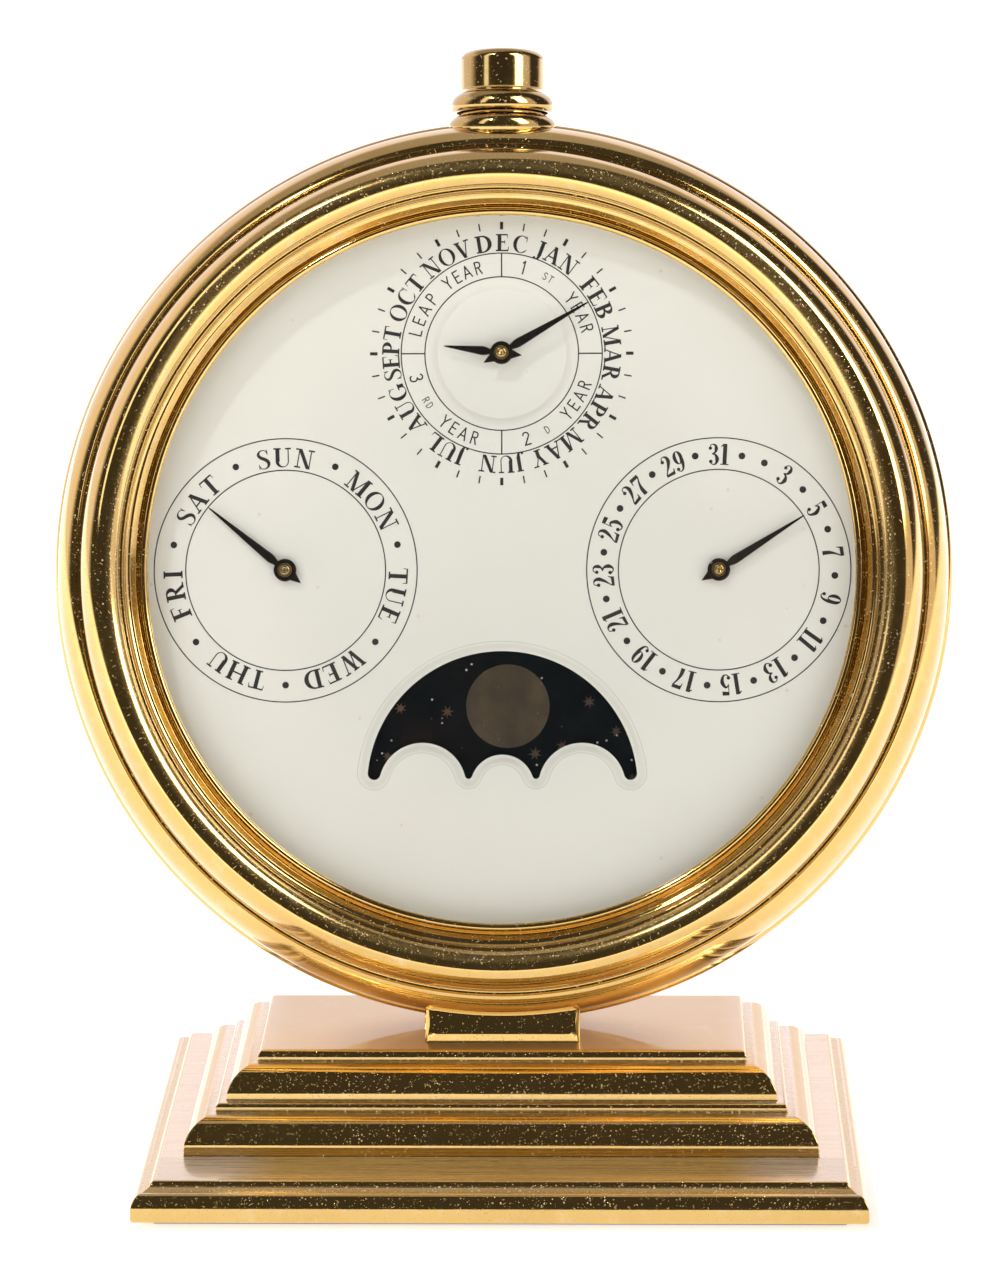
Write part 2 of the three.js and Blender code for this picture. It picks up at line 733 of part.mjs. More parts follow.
function caseBand() {
  const band = turned([
    [bandBore, -rimBeadRadius],
    ...rimBead(0, 4),
    [drumRadius + drumFillet, rimBeadRadius],
    [drumRadius, rimBeadRadius + drumFillet],
    [drumRadius, drumDepth],
    [flangeBore, drumDepth],
    [flangeBore, flangeFront],
    [bandBore, flangeFront],
  ]);
  const holes = [
    post(collarSleeveRadius + gap, bandBore - overrun, caseRadius + overrun, [0, 0]),
    ...footScrewPlaces.map((x) => post(footScrewRadius + runGap, -caseRadius - overrun, overrun - bandBore,
      [x, footScrewDepth])),
    ...plateScrewPlaces.map((place) => rod(caseScrewRadius + runGap, flangeFront - overrun,
      flangeFront + caseScrewEntry + gap, place)),
    ...coverScrewPlaces.map((place) => rod(caseScrewRadius + runGap, drumDepth - caseScrewEntry - gap,
      drumDepth + overrun, place)),
  ];
  return cut(band, ...holes);
}

function rearCover() {
  const radius = drumRadius - coverInset;
  const cover = turned([
    [0, coverFront],
    [radius, coverFront],
    [radius, coverBack - coverChamfer],
    [radius - coverChamfer, coverBack],
    [radius - coverRim, coverBack],
    ...arc([0, coverBack], radius - coverRim - coverChamfer, coverDome, Math.PI / 12, Math.PI / 2, 3),
  ]);
  const holes = coverScrewPlaces.flatMap((place) => [
    rod(caseScrewRadius + runGap, coverFront - overrun, coverBack + overrun, place),
    rod(caseScrewHeadRadius + runGap, coverBack - caseScrewHeadHeight - gap, coverBack + overrun, place),
  ]);
  return cut(cover, ...holes);
}

function rearCoverScrew(place) {
  return join(
    rod(caseScrewRadius, drumDepth - caseScrewEntry, coverBack - caseScrewHeadHeight / 2, place),
    rod(caseScrewHeadRadius, coverBack - caseScrewHeadHeight, coverBack, place),
  );
}

addTo(caseGroup, 'case_band', caseBand(), finish.gilt);
addTo(caseGroup, 'rear_cover', rearCover(), finish.gilt);
addEach(caseGroup, 'rear_cover_screw', coverScrewPlaces, rearCoverScrew, finish.steel);

// Bezel: outer moulding, groove, main torus, step, cove, cone and inner bead
function bezel() {
  const spigotOuter = bandBore - gap;
  const spigotInner = spigotOuter - bezelSpigotWall;
  const torusMiddle = (torusOuter + torusInner) / 2;
  const profile = [
    [bezelBore, bezelRear],
    [spigotInner, bezelRear],
    [spigotInner, bezelRear + bezelSpigotLength],
    [spigotOuter, bezelRear + bezelSpigotLength],
    [spigotOuter, bezelRear],
    [bezelRadius - bezelRearChamfer, bezelRear],
    ...outerMoulding(0, 6),
    [torusOuter, torusShoulderY + grooveDepth],
    ...arc([torusMiddle, torusShoulderY], torusWidth / 2, -torusHeight, 0, Math.PI / 2, 5),
    ...arc([torusMiddle, torusInnerY], -torusWidth / 2, -torusInnerDrop, Math.PI / 2, 0, 2).slice(1),
    [torusInner, ledgeY],
    [torusInner - bezelLedge, ledgeY],
    [coveInner, coneY],
    [beadCentre[0] + beadRadius, beadCentre[1]],
    ...arc(beadCentre, beadRadius, -beadRadius, 0, Math.PI, 4).slice(1),
    [beadCentre[0] - beadRadius, crystalSeat],
    [bezelBore, crystalSeat],
  ];
  const notch = post(collarSleeveRadius + gap, bezelBore - overrun, bezelRadius + overrun, [0, 0]);
  return cut(turned(profile), notch);
}

function ring(inner, outer, front, back) {
  return turned([[inner, front], [outer, front], [outer, back], [inner, back]]);
}

addTo(caseGroup, 'bezel', bezel(), finish.gilt);
addTo(caseGroup, 'crystal', turned([
  [0, crystalFront],
  [crystalRadius, crystalFront],
  [crystalRadius, crystalBack],
  [0, crystalBack],
]), finish.glass);
addTo(caseGroup, 'crystal_gasket',
  ring(crystalRadius + runGap, bezelBore - gap, crystalFront, crystalBack), finish.rubber);
addTo(caseGroup, 'crystal_ring',
  ring(beadCentre[0] + crystalRingLip, bezelBore - gap, crystalBack + gap, dialFront - gap), finish.works);

// Dial with its sunk centre and moon window
function moonWindow() {
  const [cx, cz] = moonCentre;
  const endReach = moonWindowRadius - endTipRadius;
  const end = crossing(moonCentre, endReach, sideHumpOffset, sideHumpRadius + endTipRadius);
  const middle = crossing(moonCentre, centreHumpRadius + middleTipRadius, sideHumpOffset,
    sideHumpRadius + middleTipRadius);
  const towards = (from, to) => Math.atan2(to[1] - from[1], to[0] - from[0]);
  const mirrored = ([x, z]) => [2 * cx - x, z];
  const hump = [cx + sideHumpOffset, cz];
  const outline = new THREE.Shape();
  const edge = towards(moonCentre, end);
  const toHump = towards(end, hump);
  const fromHump = towards(hump, end);
  const humpToMiddle = towards(hump, middle);
  const middleToHump = towards(middle, hump);
  const middleToCentre = towards(middle, moonCentre);
  const centreToMiddle = towards(moonCentre, middle);
  outline.absarc(cx, cz, moonWindowRadius, Math.PI - edge, edge, true);
  outline.absarc(end[0], end[1], endTipRadius, edge, toHump, true);
  outline.absarc(hump[0], hump[1], sideHumpRadius, fromHump, humpToMiddle, false);
  outline.absarc(middle[0], middle[1], middleTipRadius, middleToHump, middleToCentre, true);
  outline.absarc(cx, cz, centreHumpRadius, centreToMiddle, Math.PI - centreToMiddle, false);
  const left = mirrored(middle);
  outline.absarc(left[0], left[1], middleTipRadius, Math.PI - middleToCentre, Math.PI - middleToHump, true);
  const leftHump = mirrored(hump);
  const leftTurn = [Math.PI - humpToMiddle, Math.PI - fromHump];
  outline.absarc(leftHump[0], leftHump[1], sideHumpRadius, ...leftTurn, false);
  const leftEnd = mirrored(end);
  outline.absarc(leftEnd[0], leftEnd[1], endTipRadius, Math.PI - toHump, Math.PI - edge, true);
  return outline;
}

const handHoles = [
  [arborRadius, dayCentre],
  [arborRadius, dateCentre],
  [pipeOuter, monthCentre],
];
const pillarPlaces = around(pillarCount, dialRadius - pillarEdgeMargin - pillarRadius, Math.PI / 4);

function dial() {
  const face = shapeOf(around(sidesFor(dialRadius), dialRadius));
  handHoles.forEach(([radius, place]) => face.holes.push(circleHole(radius + gap, place)));
  const plate = slab(face, dialFront, dialBack, 8);
  const feet = pillarPlaces.map((place) => rod(pillarPinRadius, dialBack - pillarPinLength / 2,
    dialBack + pillarPinLength, place));
  const recess = turned([
    [0, dialFront + recessDepth],
    [recessFloorRadius, dialFront + recessDepth],
    [recessFloorRadius + recessBevelWidth, dialFront],
    [recessFloorRadius + recessBevelWidth, dialFront - overrun],
    [0, dialFront - overrun],
  ]).translate(monthCentre[0], 0, monthCentre[1]);
  const window = slab(moonWindow(), dialFront - overrun, dialBack + overrun, 10);
  const bevel = new THREE.ExtrudeGeometry(moonWindow(), {
    depth: overrun,
    bevelEnabled: true,
    bevelSegments: 1,
    bevelSize: windowBevelWidth,
    bevelThickness: windowBevelDepth,
    curveSegments: 10,
  }).rotateX(Math.PI / 2).translate(0, dialFront, 0);
  return cut(join(plate, ...feet), recess, window, bevel);
}

addTo(caseGroup, 'dial', dial(), finish.dial);

function dialPillar(place) {
  return cut(
    rod(pillarRadius, dialBack + gap, worksPlateFront - gap, place),
    rod(pillarPinRadius + runGap, dialBack, dialBack + pillarPinLength + gap, place),
  );
}

addEach(caseGroup, 'dial_pillar', pillarPlaces, dialPillar, finish.works);

// A gear tooth: root, pitch line and tip
function geared(centre, teeth, turn = 0) {
  const pitchRadius = (gearModule * teeth) / 2;
  const pitch = (2 * Math.PI) / teeth;
  const rows = [
    [pitchRadius - dedendumShare * gearModule, toothRootShare],
    [pitchRadius, toothPitchShare],
    [pitchRadius + addendumShare * gearModule, toothTipShare],
  ];
  return Array.from({ length: teeth }, (_, tooth) => {
    const middle = turn + tooth * pitch;
    const rising = rows.map(([radius, share]) => polar(centre, radius, middle - share * pitch));
    const falling = rows.map(([radius, share]) => polar(centre, radius, middle + share * pitch)).reverse();
    return [...rising, ...falling];
  }).flat();
}

function star(centre, teeth, tipRadius, toothDepth, turn = 0) {
  const halfPitch = Math.PI / teeth;
  return shapeOf(Array.from({ length: teeth }, (_, tooth) => [
    polar(centre, tipRadius, turn + 2 * tooth * halfPitch),
    polar(centre, tipRadius - toothDepth, turn + (2 * tooth + 1) * halfPitch),
  ]).flat());
}

function lightened(shape, centre, radius) {
  around(windowCountInWheel, radius * windowPlaceShare, Math.PI / 2, centre).forEach((place) => {
    shape.holes.push(circleHole(radius * windowShare, place));
  });
  return shape;
}

// An arbor with a dimpled front end
function arbor(centre, radius, front) {
  const body = rod(radius, front, worksPlateBack - gap, centre);
  const dimple = new THREE.ConeGeometry(dimpleRadius, dimpleDepth * 2, sidesFor(dimpleRadius))
    .translate(centre[0], front, centre[1]);
  return cut(body, dimple);
}

function starWheel(shape, centre, front) {
  const wheel = slab(shape, starLayer, starLayer + layerThickness, 6);
  const collar = rod(collarRadius, starLayer - layerThickness / 2, starLayer + layerThickness / 2, centre);
  return join(wheel, arbor(centre, arborRadius, front), collar);
}

const lowerArborFront = arborFront + handStack;
const dayStar = star(dayCentre, dayTeeth, dayStarRadius, dayToothDepth, Math.PI / dayTeeth);
const dateStar = star(dateCentre, dateTeeth, dateWheelRadius, dateToothDepth);
const moonStar = star(moonCentre, moonTeeth, moonWheelRadius, moonToothDepth);

addTo(caseGroup, 'day_wheel', starWheel(dayStar, dayCentre, lowerArborFront), finish.steel);
addTo(caseGroup, 'date_wheel', starWheel(
  lightened(dateStar, dateCentre, dateWheelRadius - dateToothDepth),
  dateCentre,
  lowerArborFront,
), finish.works);
addTo(caseGroup, 'moon_wheel', starWheel(
  lightened(moonStar, moonCentre, moonWheelRadius),
  moonCentre,
  dialBack + layerGap,
), finish.works);
addTo(caseGroup, 'moon_disc',
  cut(rod(moonDiscRadius, layer(0), layer(0) + layerThickness, moonCentre),
    rod(arborRadius + runGap, layer(0) - overrun, layer(0) + overrun, moonCentre)), finish.night);

// Month arbor with star and pinion, idler pair, and the leap-year pipe with its cam
function monthWheel() {
  const wheel = slab(star(monthCentre, monthTeeth, monthStarRadius, monthToothDepth), starLayer,
    starLayer + layerThickness);
  const pinion = slab(shapeOf(geared(monthCentre, pinionTeeth)), layer(2), starLayer + layerThickness / 2);
  return join(wheel, pinion, arbor(monthCentre, monthArborRadius, arborFront));
}

function idlerWheel() {
  const facing = idlerDirection + Math.PI;
  const wheel = slab(shapeOf(geared(idlerCentre, wheelTeeth, facing)), layer(2),
    layer(2) + layerThickness);
  const leaves = shapeOf(geared(idlerCentre, pinionTeeth, facing));
  const pinion = slab(leaves, layer(1), layer(2) + layerThickness / 2);
  return cut(join(wheel, pinion), rod(idlerStudRadius + runGap, layer(0), leverLayer, idlerCentre));
}

function leapWheel() {
  const shape = shapeOf(geared(monthCentre, wheelTeeth, idlerDirection + Math.PI / wheelTeeth));
  const wheel = slab(shape, layer(1), layer(1) + layerThickness);
  const pipe = rod(pipeOuter, lowerHandFront, layer(1) + layerThickness / 2, monthCentre);
  return cut(join(wheel, pipe), rod(pipeInner, lowerHandFront - overrun, layer(2), monthCentre));
}

// One step of the cam a month, over four years; February is deepest, less so in the leap year
function camOutline() {
  const months = ['jan', 'feb', 'mar', 'apr', 'may', 'jun', 'jul', 'aug', 'sep', 'oct', 'nov', 'dec'];
  const shortMonths = ['apr', 'jun', 'sep', 'nov'];
  const pitch = (2 * Math.PI) / camSteps;
  const radii = Array.from({ length: camSteps }, (_, step) => {
    const month = months[step % months.length];
    if (shortMonths.includes(month)) return camRadius - camShortDrop;
    if (month !== 'feb') return camRadius;
    return camRadius - (step < camSteps - months.length ? camFebruaryDrop : camLeapDrop);
  });
  return radii.flatMap((radius, step) => {
    const before = radii[(step + camSteps - 1) % camSteps];
    const corner = polar(monthCentre, radius, -step * pitch);
    return before === radius ? [corner] : [polar(monthCentre, before, -step * pitch), corner];
  });
}

function programCam() {
  const shape = shapeOf(camOutline());
  shape.holes.push(circleHole(pipeOuter + runGap, monthCentre));
  return slab(shape, layer(0), layer(0) + layerThickness, 6);
}

addTo(caseGroup, 'month_wheel', monthWheel(), finish.steel);
addTo(caseGroup, 'idler_wheel', idlerWheel(), finish.works);
addTo(caseGroup, 'leap_wheel', leapWheel(), finish.works);
addTo(caseGroup, 'program_cam', programCam(), finish.steel);

// Hands: a hub with a tapering blade and a short arrow tail, pointing up before they are turned
function hand(length, boreRadius, front, turn, place) {
  const blade = shapeOf([
    [0, length],
    [-bladeWidth / 2, bladeShoulder],
    [-bladeWidth / 4, 0],
    [-tailWidth / 2, -hubRadius],
    [0, -tailLength],
    [tailWidth / 2, -hubRadius],
    [bladeWidth / 4, 0],
    [bladeWidth / 2, bladeShoulder],
  ]);
  const back = front + handThickness;
  const body = join(slab(blade, front, back), rod(hubRadius, front, back));
  const bored = cut(body, rod(boreRadius, front - overrun, back + overrun));
  return bored.rotateY(turn).translate(place[0], 0, place[1]);
}

const hands = {
  day_hand: hand(dayHandLength, arborRadius + runGap, lowerHandFront, dayHandTurn, dayCentre),
  date_hand: hand(dateHandLength, arborRadius + runGap, lowerHandFront, dateHandTurn, dateCentre),
  month_hand: hand(monthHandLength, monthArborRadius + runGap, upperHandFront, monthHandTurn, monthCentre),
  leap_year_hand: hand(leapHandLength, pipeOuter + runGap, lowerHandFront, leapHandTurn, monthCentre),
};

Object.entries(hands).forEach(([name, geometry]) => addTo(caseGroup, name, geometry, finish.black));

// Great lever: pad under the stem, pivot, waist, elbow and three ends with clicks
const sleeveBottom = bandBore - sleeveProtrusion;
const stemBottom = sleeveBottom - gap - clipThickness - footLength;
const padTop = stemBottom - gap;
const followOffset = (shares) => shares.map((share) => share * subDialOffset);
const leverPivot = followOffset(leverPivotShares);
const leverWaist = followOffset(leverWaistShares);
const leverElbow = followOffset(leverElbowShares);

function clickAt(centre, tipRadius, angle) {
  const tip = polar(centre, tipRadius + clickClear + clickTip, angle);
  return { tip, pin: polar(tip, clickReach, angle + clickRise) };
}

const dayClick = clickAt(dayCentre, dayStarRadius, dayClickAngle);
const dateClick = clickAt(dateCentre, dateWheelRadius, dateClickAngle);
const moonClick = clickAt(moonCentre, moonWheelRadius, moonClickAngle);
const feelerTip = polar(monthCentre, camRadius + feelerClear + feelerPost / 2, feelerAngle);
const feelerPin = polar(feelerTip, feelerReach, feelerAngle);

function greatLever() {
  const [front, back] = [leverLayer, leverLayer + leverThickness];
  const padPlace = [0, padTop - leverWidth / 2];
  const bars = [
    [padPlace, leverPivot],
    [leverPivot, leverWaist],
    [leverWaist, leverElbow],
    [leverElbow, moonClick.pin],
    [leverElbow, dayClick.pin],
    [leverWaist, dateClick.pin],
    [leverPivot, feelerPin],
  ];
  const pad = block(leverPadLength / 2, -leverPadRise, back, padTop - leverPadRise, padTop);
  const pins = [dayClick.pin, dateClick.pin, moonClick.pin];
  return cut(
    join(...bars.map(([from, to]) => bar(from, to, leverWidth, front, back)), pad),
    rod(leverStudRadius + runGap, front - overrun, back + overrun, leverPivot),
    ...pins.map((place) => rod(clickPinRadius + runGap, front - overrun, back + overrun, place)),
    rod(feelerPost + runGap, front - overrun, back + overrun, feelerPin),
  );
}

function click({ tip, pin }) {
  const heading = Math.atan2(tip[1] - pin[1], tip[0] - pin[0]);
  const body = shapeOf([
    polar(pin, clickRadius, heading + Math.PI / 2),
    polar(pin, clickRadius, heading - Math.PI / 2),
    polar(tip, clickTip, heading - Math.PI / 2),
    polar(tip, clickTip, heading + Math.PI / 2),
  ]);
  return join(
    slab(body, starLayer, starLayer + layerThickness),
    rod(clickRadius, starLayer, starLayer + layerThickness, pin),
    rod(clickPinRadius, starLayer, leverLayer + leverThickness, pin),
  );
}

function camFeeler() {
  return join(
    bar(feelerTip, feelerPin, feelerPost, layer(0), layer(0) + layerThickness),
    rod(feelerPost, layer(0), leverLayer + leverThickness, feelerPin),
  );
}

addTo(caseGroup, 'great_lever', greatLever(), finish.steel);
addTo(caseGroup, 'day_click', click(dayClick), finish.steel);
addTo(caseGroup, 'date_click', click(dateClick), finish.steel);
addTo(caseGroup, 'moon_click', click(moonClick), finish.steel);
addTo(caseGroup, 'cam_feeler', camFeeler(), finish.steel);

// Jumpers: sprung arms with a nose at each wheel, on a foot riveted in the plate
function jumperAt(centre, tipRadius, noseAngle, side) {
  const nose = polar(centre, tipRadius + jumperClear, noseAngle);
  const along = noseAngle + (side * Math.PI) / 2;
  const heel = polar(nose, jumperNose + jumperArm, noseAngle);
  return { nose, heel, noseAngle, along, foot: polar(heel, jumperReach, along) };
}

const jumpers = {
  day_jumper: jumperAt(dayCentre, dayStarRadius, -Math.PI / 2, -1),
  date_jumper: jumperAt(dateCentre, dateWheelRadius, -Math.PI / 2, 1),
  month_jumper: jumperAt(monthCentre, monthStarRadius, Math.PI, -1),
  moon_jumper: jumperAt(moonCentre, moonWheelRadius, 0, -1),
};

function jumper({ nose, heel, noseAngle, along, foot }) {
  const back = starLayer + layerThickness;
  const shoulder = (side) => polar(polar(nose, jumperNose, noseAngle), side * jumperArm, along);
  const wedge = shapeOf([
    nose,
    shoulder(1),
    polar(heel, jumperArm, along),
    polar(heel, -jumperArm, along),
    shoulder(-1),
  ]);
  return join(
    slab(wedge, starLayer, back),
    bar(heel, foot, jumperArm, starLayer, back),
    rod(jumperFootRadius, starLayer, worksPlateFront - gap, foot),
    rod(rivetRadius, starLayer, worksPlateBack - gap, foot),
  );
}

Object.entries(jumpers).forEach(([name, spot]) => addTo(caseGroup, name, jumper(spot), finish.steel));

const jumperFeet = Object.values(jumpers).map((spot) => spot.foot);
const springFoot = polar(leverPivot, springBladeLength, 0);

// Lever spring: a blade from its own foot to just beside the lever near the pivot
function leverSpring() {
  const tip = [
    leverPivot[0] + leverWidth / 2 + gap + springBladeWidth / 2,
    leverPivot[1] - springBladeDrop,
  ];
  return join(
    bar(springFoot, tip, springBladeWidth, leverLayer, leverLayer + leverThickness),
    rod(springFootRadius, leverLayer, worksPlateFront - gap, springFoot),
    rod(rivetRadius, leverLayer, worksPlateBack - gap, springFoot),
  );
}

addTo(caseGroup, 'lever_spring', leverSpring(), finish.steel);

// Studs of the lever and of the idler, with heads that keep their pieces on
function stud(radius, front, place) {
  return join(
    rod(radius, front, worksPlateBack - gap, place),
    rod(radius * studHeadShare, front - layerThickness / 2, front, place),
  );
}

addTo(caseGroup, 'lever_stud', stud(leverStudRadius, leverLayer - gap, leverPivot), finish.steel);
addTo(caseGroup, 'idler_stud', stud(idlerStudRadius, layer(1) - gap, idlerCentre), finish.steel);

// Plate that carries the works, screwed to the flange of the band
function worksPlate() {
  const holes = [
    [arborRadius, dayCentre],
    [arborRadius, dateCentre],
    [arborRadius, moonCentre],
    [monthArborRadius, monthCentre],
    [leverStudRadius, leverPivot],
    [idlerStudRadius, idlerCentre],
    [rivetRadius, springFoot],
    ...jumperFeet.map((place) => [rivetRadius, place]),
    ...plateScrewPlaces.map((place) => [caseScrewRadius, place]),
  ];
  const shape = shapeOf(around(sidesFor(worksPlateRadius), worksPlateRadius));
  holes.forEach(([radius, place]) => shape.holes.push(circleHole(radius + runGap, place)));
  return slab(shape, worksPlateFront, worksPlateBack, 5);
}

function plateScrew(place) {
  const headBack = worksPlateFront - gap;
  return join(
    rod(caseScrewRadius, headBack - caseScrewHeadHeight / 2, flangeFront + caseScrewEntry, place),
    rod(caseScrewHeadRadius, headBack - caseScrewHeadHeight, headBack, place),
  );
}

addTo(caseGroup, 'main_plate', worksPlate(), finish.works);
addEach(caseGroup, 'plate_screw', plateScrewPlaces, plateScrew, finish.steel);

// Button, stem, spring and clip, and the collar they run in, along the case's Z axis
const buttonTop = caseRadius + buttonRise;
const skirtBottom = buttonTop - buttonShoulder - buttonSkirt;
const ringTop = skirtBottom - buttonNeckHeight;
const ringMiddle = ringTop - buttonRingUpper;
const lipBottom = ringMiddle - buttonRingLower;
const hollowTop = lipBottom + buttonHollowDepth;
const lipInner = buttonLipOuter - buttonLipWall;
const collarTop = lipBottom + collarNeckLap;
const beadTop = lipBottom - collarNeckHeight;
const beadMiddle = beadTop - collarBeadUpper;
const collarFloor = sleeveBottom + sleeveFloor;

function turnedUp(profile) {
  return turned(profile).rotateX(Math.PI / 2);
}

function pusherCap() {
  const shoulder = arc([buttonTopRadius, buttonTop - buttonShoulder], buttonRadius - buttonTopRadius,
    buttonShoulder, 0, Math.PI / 2, 5);
  const upper = arc([buttonNeckRadius, ringMiddle], buttonRingRadius - buttonNeckRadius, buttonRingUpper,
    0, Math.PI / 2, 5);
  const lower = arc([buttonLipOuter, ringMiddle], buttonRingRadius - buttonLipOuter, -buttonRingLower,
    Math.PI / 2, 0, 3);
  return turnedUp([
    [0, hollowTop + stemSeatDepth],
    [stemRadius + runGap, hollowTop + stemSeatDepth],
    [stemRadius + runGap, hollowTop],
    [lipInner, hollowTop],
    [lipInner, lipBottom],
    ...lower,
    ...upper.slice(1),
    [buttonNeckRadius, skirtBottom],
    [buttonRadius, skirtBottom],
    ...shoulder,
    [0, buttonTop],
  ]);
}

function pusherStem() {
  return turnedUp([
    [0, stemBottom],
    [stemRadius, stemBottom],
    [stemRadius, hollowTop + stemSeatDepth - runGap],
    [0, hollowTop + stemSeatDepth - runGap],
  ]);
}

function pusherCollar() {
  const upper = arc([collarNeckRadius, beadMiddle], collarBeadWidth, collarBeadUpper, 0, Math.PI / 2, 5);
  const lower = arc([collarNeckRadius, beadMiddle], collarBeadWidth, -collarBeadLower, Math.PI / 2, 0, 4);
  const seat = turnedUp([
    [collarBore, drumRadius - overrun],
    [collarNeckRadius, drumRadius - overrun],
    ...lower,
    ...upper.slice(1),
    [collarNeckRadius, collarTop],
    [collarBore, collarTop],
  ]);
  const sleeve = turnedUp([
    [stemRadius + gap, sleeveBottom],
    [collarSleeveRadius, sleeveBottom],
    [collarSleeveRadius, beadMiddle],
    [collarBore, beadMiddle],
    [collarBore, collarFloor],
    [stemRadius + gap, collarFloor],
  ]);
  return join(cut(seat, caseEnvelope(gap)), sleeve);
}

function ringProfile(inner, outer, bottom, top) {
  return [[inner, bottom], [outer, bottom], [outer, top], [inner, top]];
}

// Coil of the return spring, as one unbroken wire
class Coil extends THREE.Curve {
  constructor(radius, bottom, top, turns) {
    super();
    Object.assign(this, { radius, bottom, top, turns });
  }

  getPoint(share, target = new THREE.Vector3()) {
    const angle = 2 * Math.PI * this.turns * share;
    const height = THREE.MathUtils.lerp(this.bottom, this.top, share);
    return target.set(this.radius * Math.cos(angle), this.radius * Math.sin(angle), height);
  }
}

function pusherSpring() {
  const endGap = springWire / 2 + gap;
  const extrudePath = new Coil(springRadius, collarFloor + endGap, hollowTop - endGap, springTurns);
  const section = shapeOf(around(6, springWire / 2));
  return new THREE.ExtrudeGeometry(section, { steps: springTurns * 8, extrudePath, bevelEnabled: false });
}

function stemClip() {
  const top = sleeveBottom - gap;
  return turnedUp(ringProfile(stemRadius + runGap, clipRadius, top - clipThickness, top));
}

addTo(caseGroup, 'pusher_cap', pusherCap(), finish.gilt);
addTo(caseGroup, 'pusher_stem', pusherStem(), finish.steel);
addTo(caseGroup, 'pusher_collar', pusherCollar(), finish.gilt);
addTo(caseGroup, 'pusher_spring', pusherSpring(), finish.steel);
addTo(caseGroup, 'stem_clip', stemClip(), finish.steel);

export default calendar;
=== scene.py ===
import json
from math import atan2, cos, degrees, pi, radians, sin, sqrt, tan

import bmesh
import bpy
from mathutils import Matrix, Vector
from mathutils.geometry import delaunay_2d_cdt


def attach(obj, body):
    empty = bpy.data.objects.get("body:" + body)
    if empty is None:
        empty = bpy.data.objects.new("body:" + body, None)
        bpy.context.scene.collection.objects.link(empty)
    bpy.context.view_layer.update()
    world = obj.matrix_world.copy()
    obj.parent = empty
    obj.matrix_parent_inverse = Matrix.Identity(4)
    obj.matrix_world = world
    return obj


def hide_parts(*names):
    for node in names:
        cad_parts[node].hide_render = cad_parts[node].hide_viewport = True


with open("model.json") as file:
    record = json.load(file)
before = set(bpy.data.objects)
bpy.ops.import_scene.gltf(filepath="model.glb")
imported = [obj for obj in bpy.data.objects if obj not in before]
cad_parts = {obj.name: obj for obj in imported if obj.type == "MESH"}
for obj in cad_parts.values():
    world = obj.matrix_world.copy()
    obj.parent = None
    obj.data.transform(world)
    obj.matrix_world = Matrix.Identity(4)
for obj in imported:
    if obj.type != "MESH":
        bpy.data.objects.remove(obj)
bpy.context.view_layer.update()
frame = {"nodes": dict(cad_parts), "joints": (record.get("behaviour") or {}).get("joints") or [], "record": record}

# Sizes are in millimetres, in the frame of the whole or in the frame of the leaning case
MM = 0.001
TINY = 1e-6
SHARP_CORNER = 1e-5
ROOT = "stand_and_case"
TURN = 2 * pi

LATHE_SIDES = 320
SMALL_SIDES = 192
PIN_SIDES = 48

PLATE_HALF = (47.6, 31.45)
LOWER_RECT = (41.62, -19.92, 22.02)
HOLLOW_RECT = (34.59, -12.89, 14.99)
PAD_TOP = 1.05
PLINTH_TOP = 17.24
PEDESTAL_HALF = 10.3
PEDESTAL_FRONT = -7.23
PEDESTAL_BACK = 8.98
PEDESTAL_RISE = 6.2
CASE_LEAN = radians(15)
PEDESTAL_LEAN = radians(6)

RIM_CENTRE = 58.6
RIM_BEAD = 1.4
DRUM = 56.5
BEZEL = 59.3
BEZEL_REAR = -1.7
TORUS_OUTER = 55.6
TORUS_INNER = 50.1
TORUS_SHOULDER = -8.8
TORUS_HEIGHT = 5.2
MOULDING = (3.7, 6.3)
BEZEL_BORE = 49.6
BEAD_FOOT = -12
COVER_FRONT = 10.3
COVER_FACE = 12
CRYSTAL = (-8.85, -7.45)

DIAL = 49.3
DIAL_FRONT = -4.5
DIAL_BACK = -2.9
DIAL_EDGE = 0.12
RECESS = (10.05, 8.45)
RECESS_DEPTH = 0.7
SUB = 28.75
DAY = (-SUB, 0)
DATE = (SUB, 0)
MONTH = (0, SUB)
MOON = (0, -SUB)
DAY_RINGS = (13.3, 17.5)
MONTH_RINGS = (10.2, 13.35)
PRINT_BACK = DIAL_FRONT - 0.008
PRINT_FRONT = PRINT_BACK - 0.02
LOW_HAND = (-5.9, -5.5)
HIGH_HAND = (-6.7, -6.3)


# Frames
def case_frame():
    joints = {joint["name"]: joint for joint in frame["joints"]}
    day, date = (Vector(joints[name]["pos_m"]) for name in ("day_spin", "date_spin"))
    into = Vector(joints["date_spin"]["axis"]).normalized()
    across = Vector((1, 0, 0))
    matrix = Matrix((across, into, across.cross(into))).transposed().to_4x4()
    matrix.translation = (day + date) / 2
    return matrix


CASE = case_frame()
WORLD = Matrix.Identity(4)


def placed(name, data, matrix=WORLD):
    """A new object of the scene."""
    thing = bpy.data.objects.new(name, data)
    bpy.context.scene.collection.objects.link(thing)
    thing.matrix_world = matrix
    return thing


# Camera
def make_camera():
    yaw, pitch, roll = (radians(angle) for angle in (-1.53, 14.5, -0.446))
    flat = cos(pitch)
    forward = Vector((sin(yaw) * flat, cos(yaw) * flat, -sin(pitch)))
    level = Vector((cos(yaw), -sin(yaw), 0))
    right = level * cos(roll) + level.cross(forward) * sin(roll)
    above = right.cross(forward)
    data = bpy.data.cameras.new("camera")
    data.lens = 128.46
    data.sensor_width = 36
    data.clip_start = 0.05
    data.clip_end = 50
    matrix = Matrix((right, above, -forward)).transposed().to_4x4()
    matrix.translation = Vector((0.0154, -0.5809, 0.2210))
    bpy.context.scene.camera = placed("camera", data, matrix)


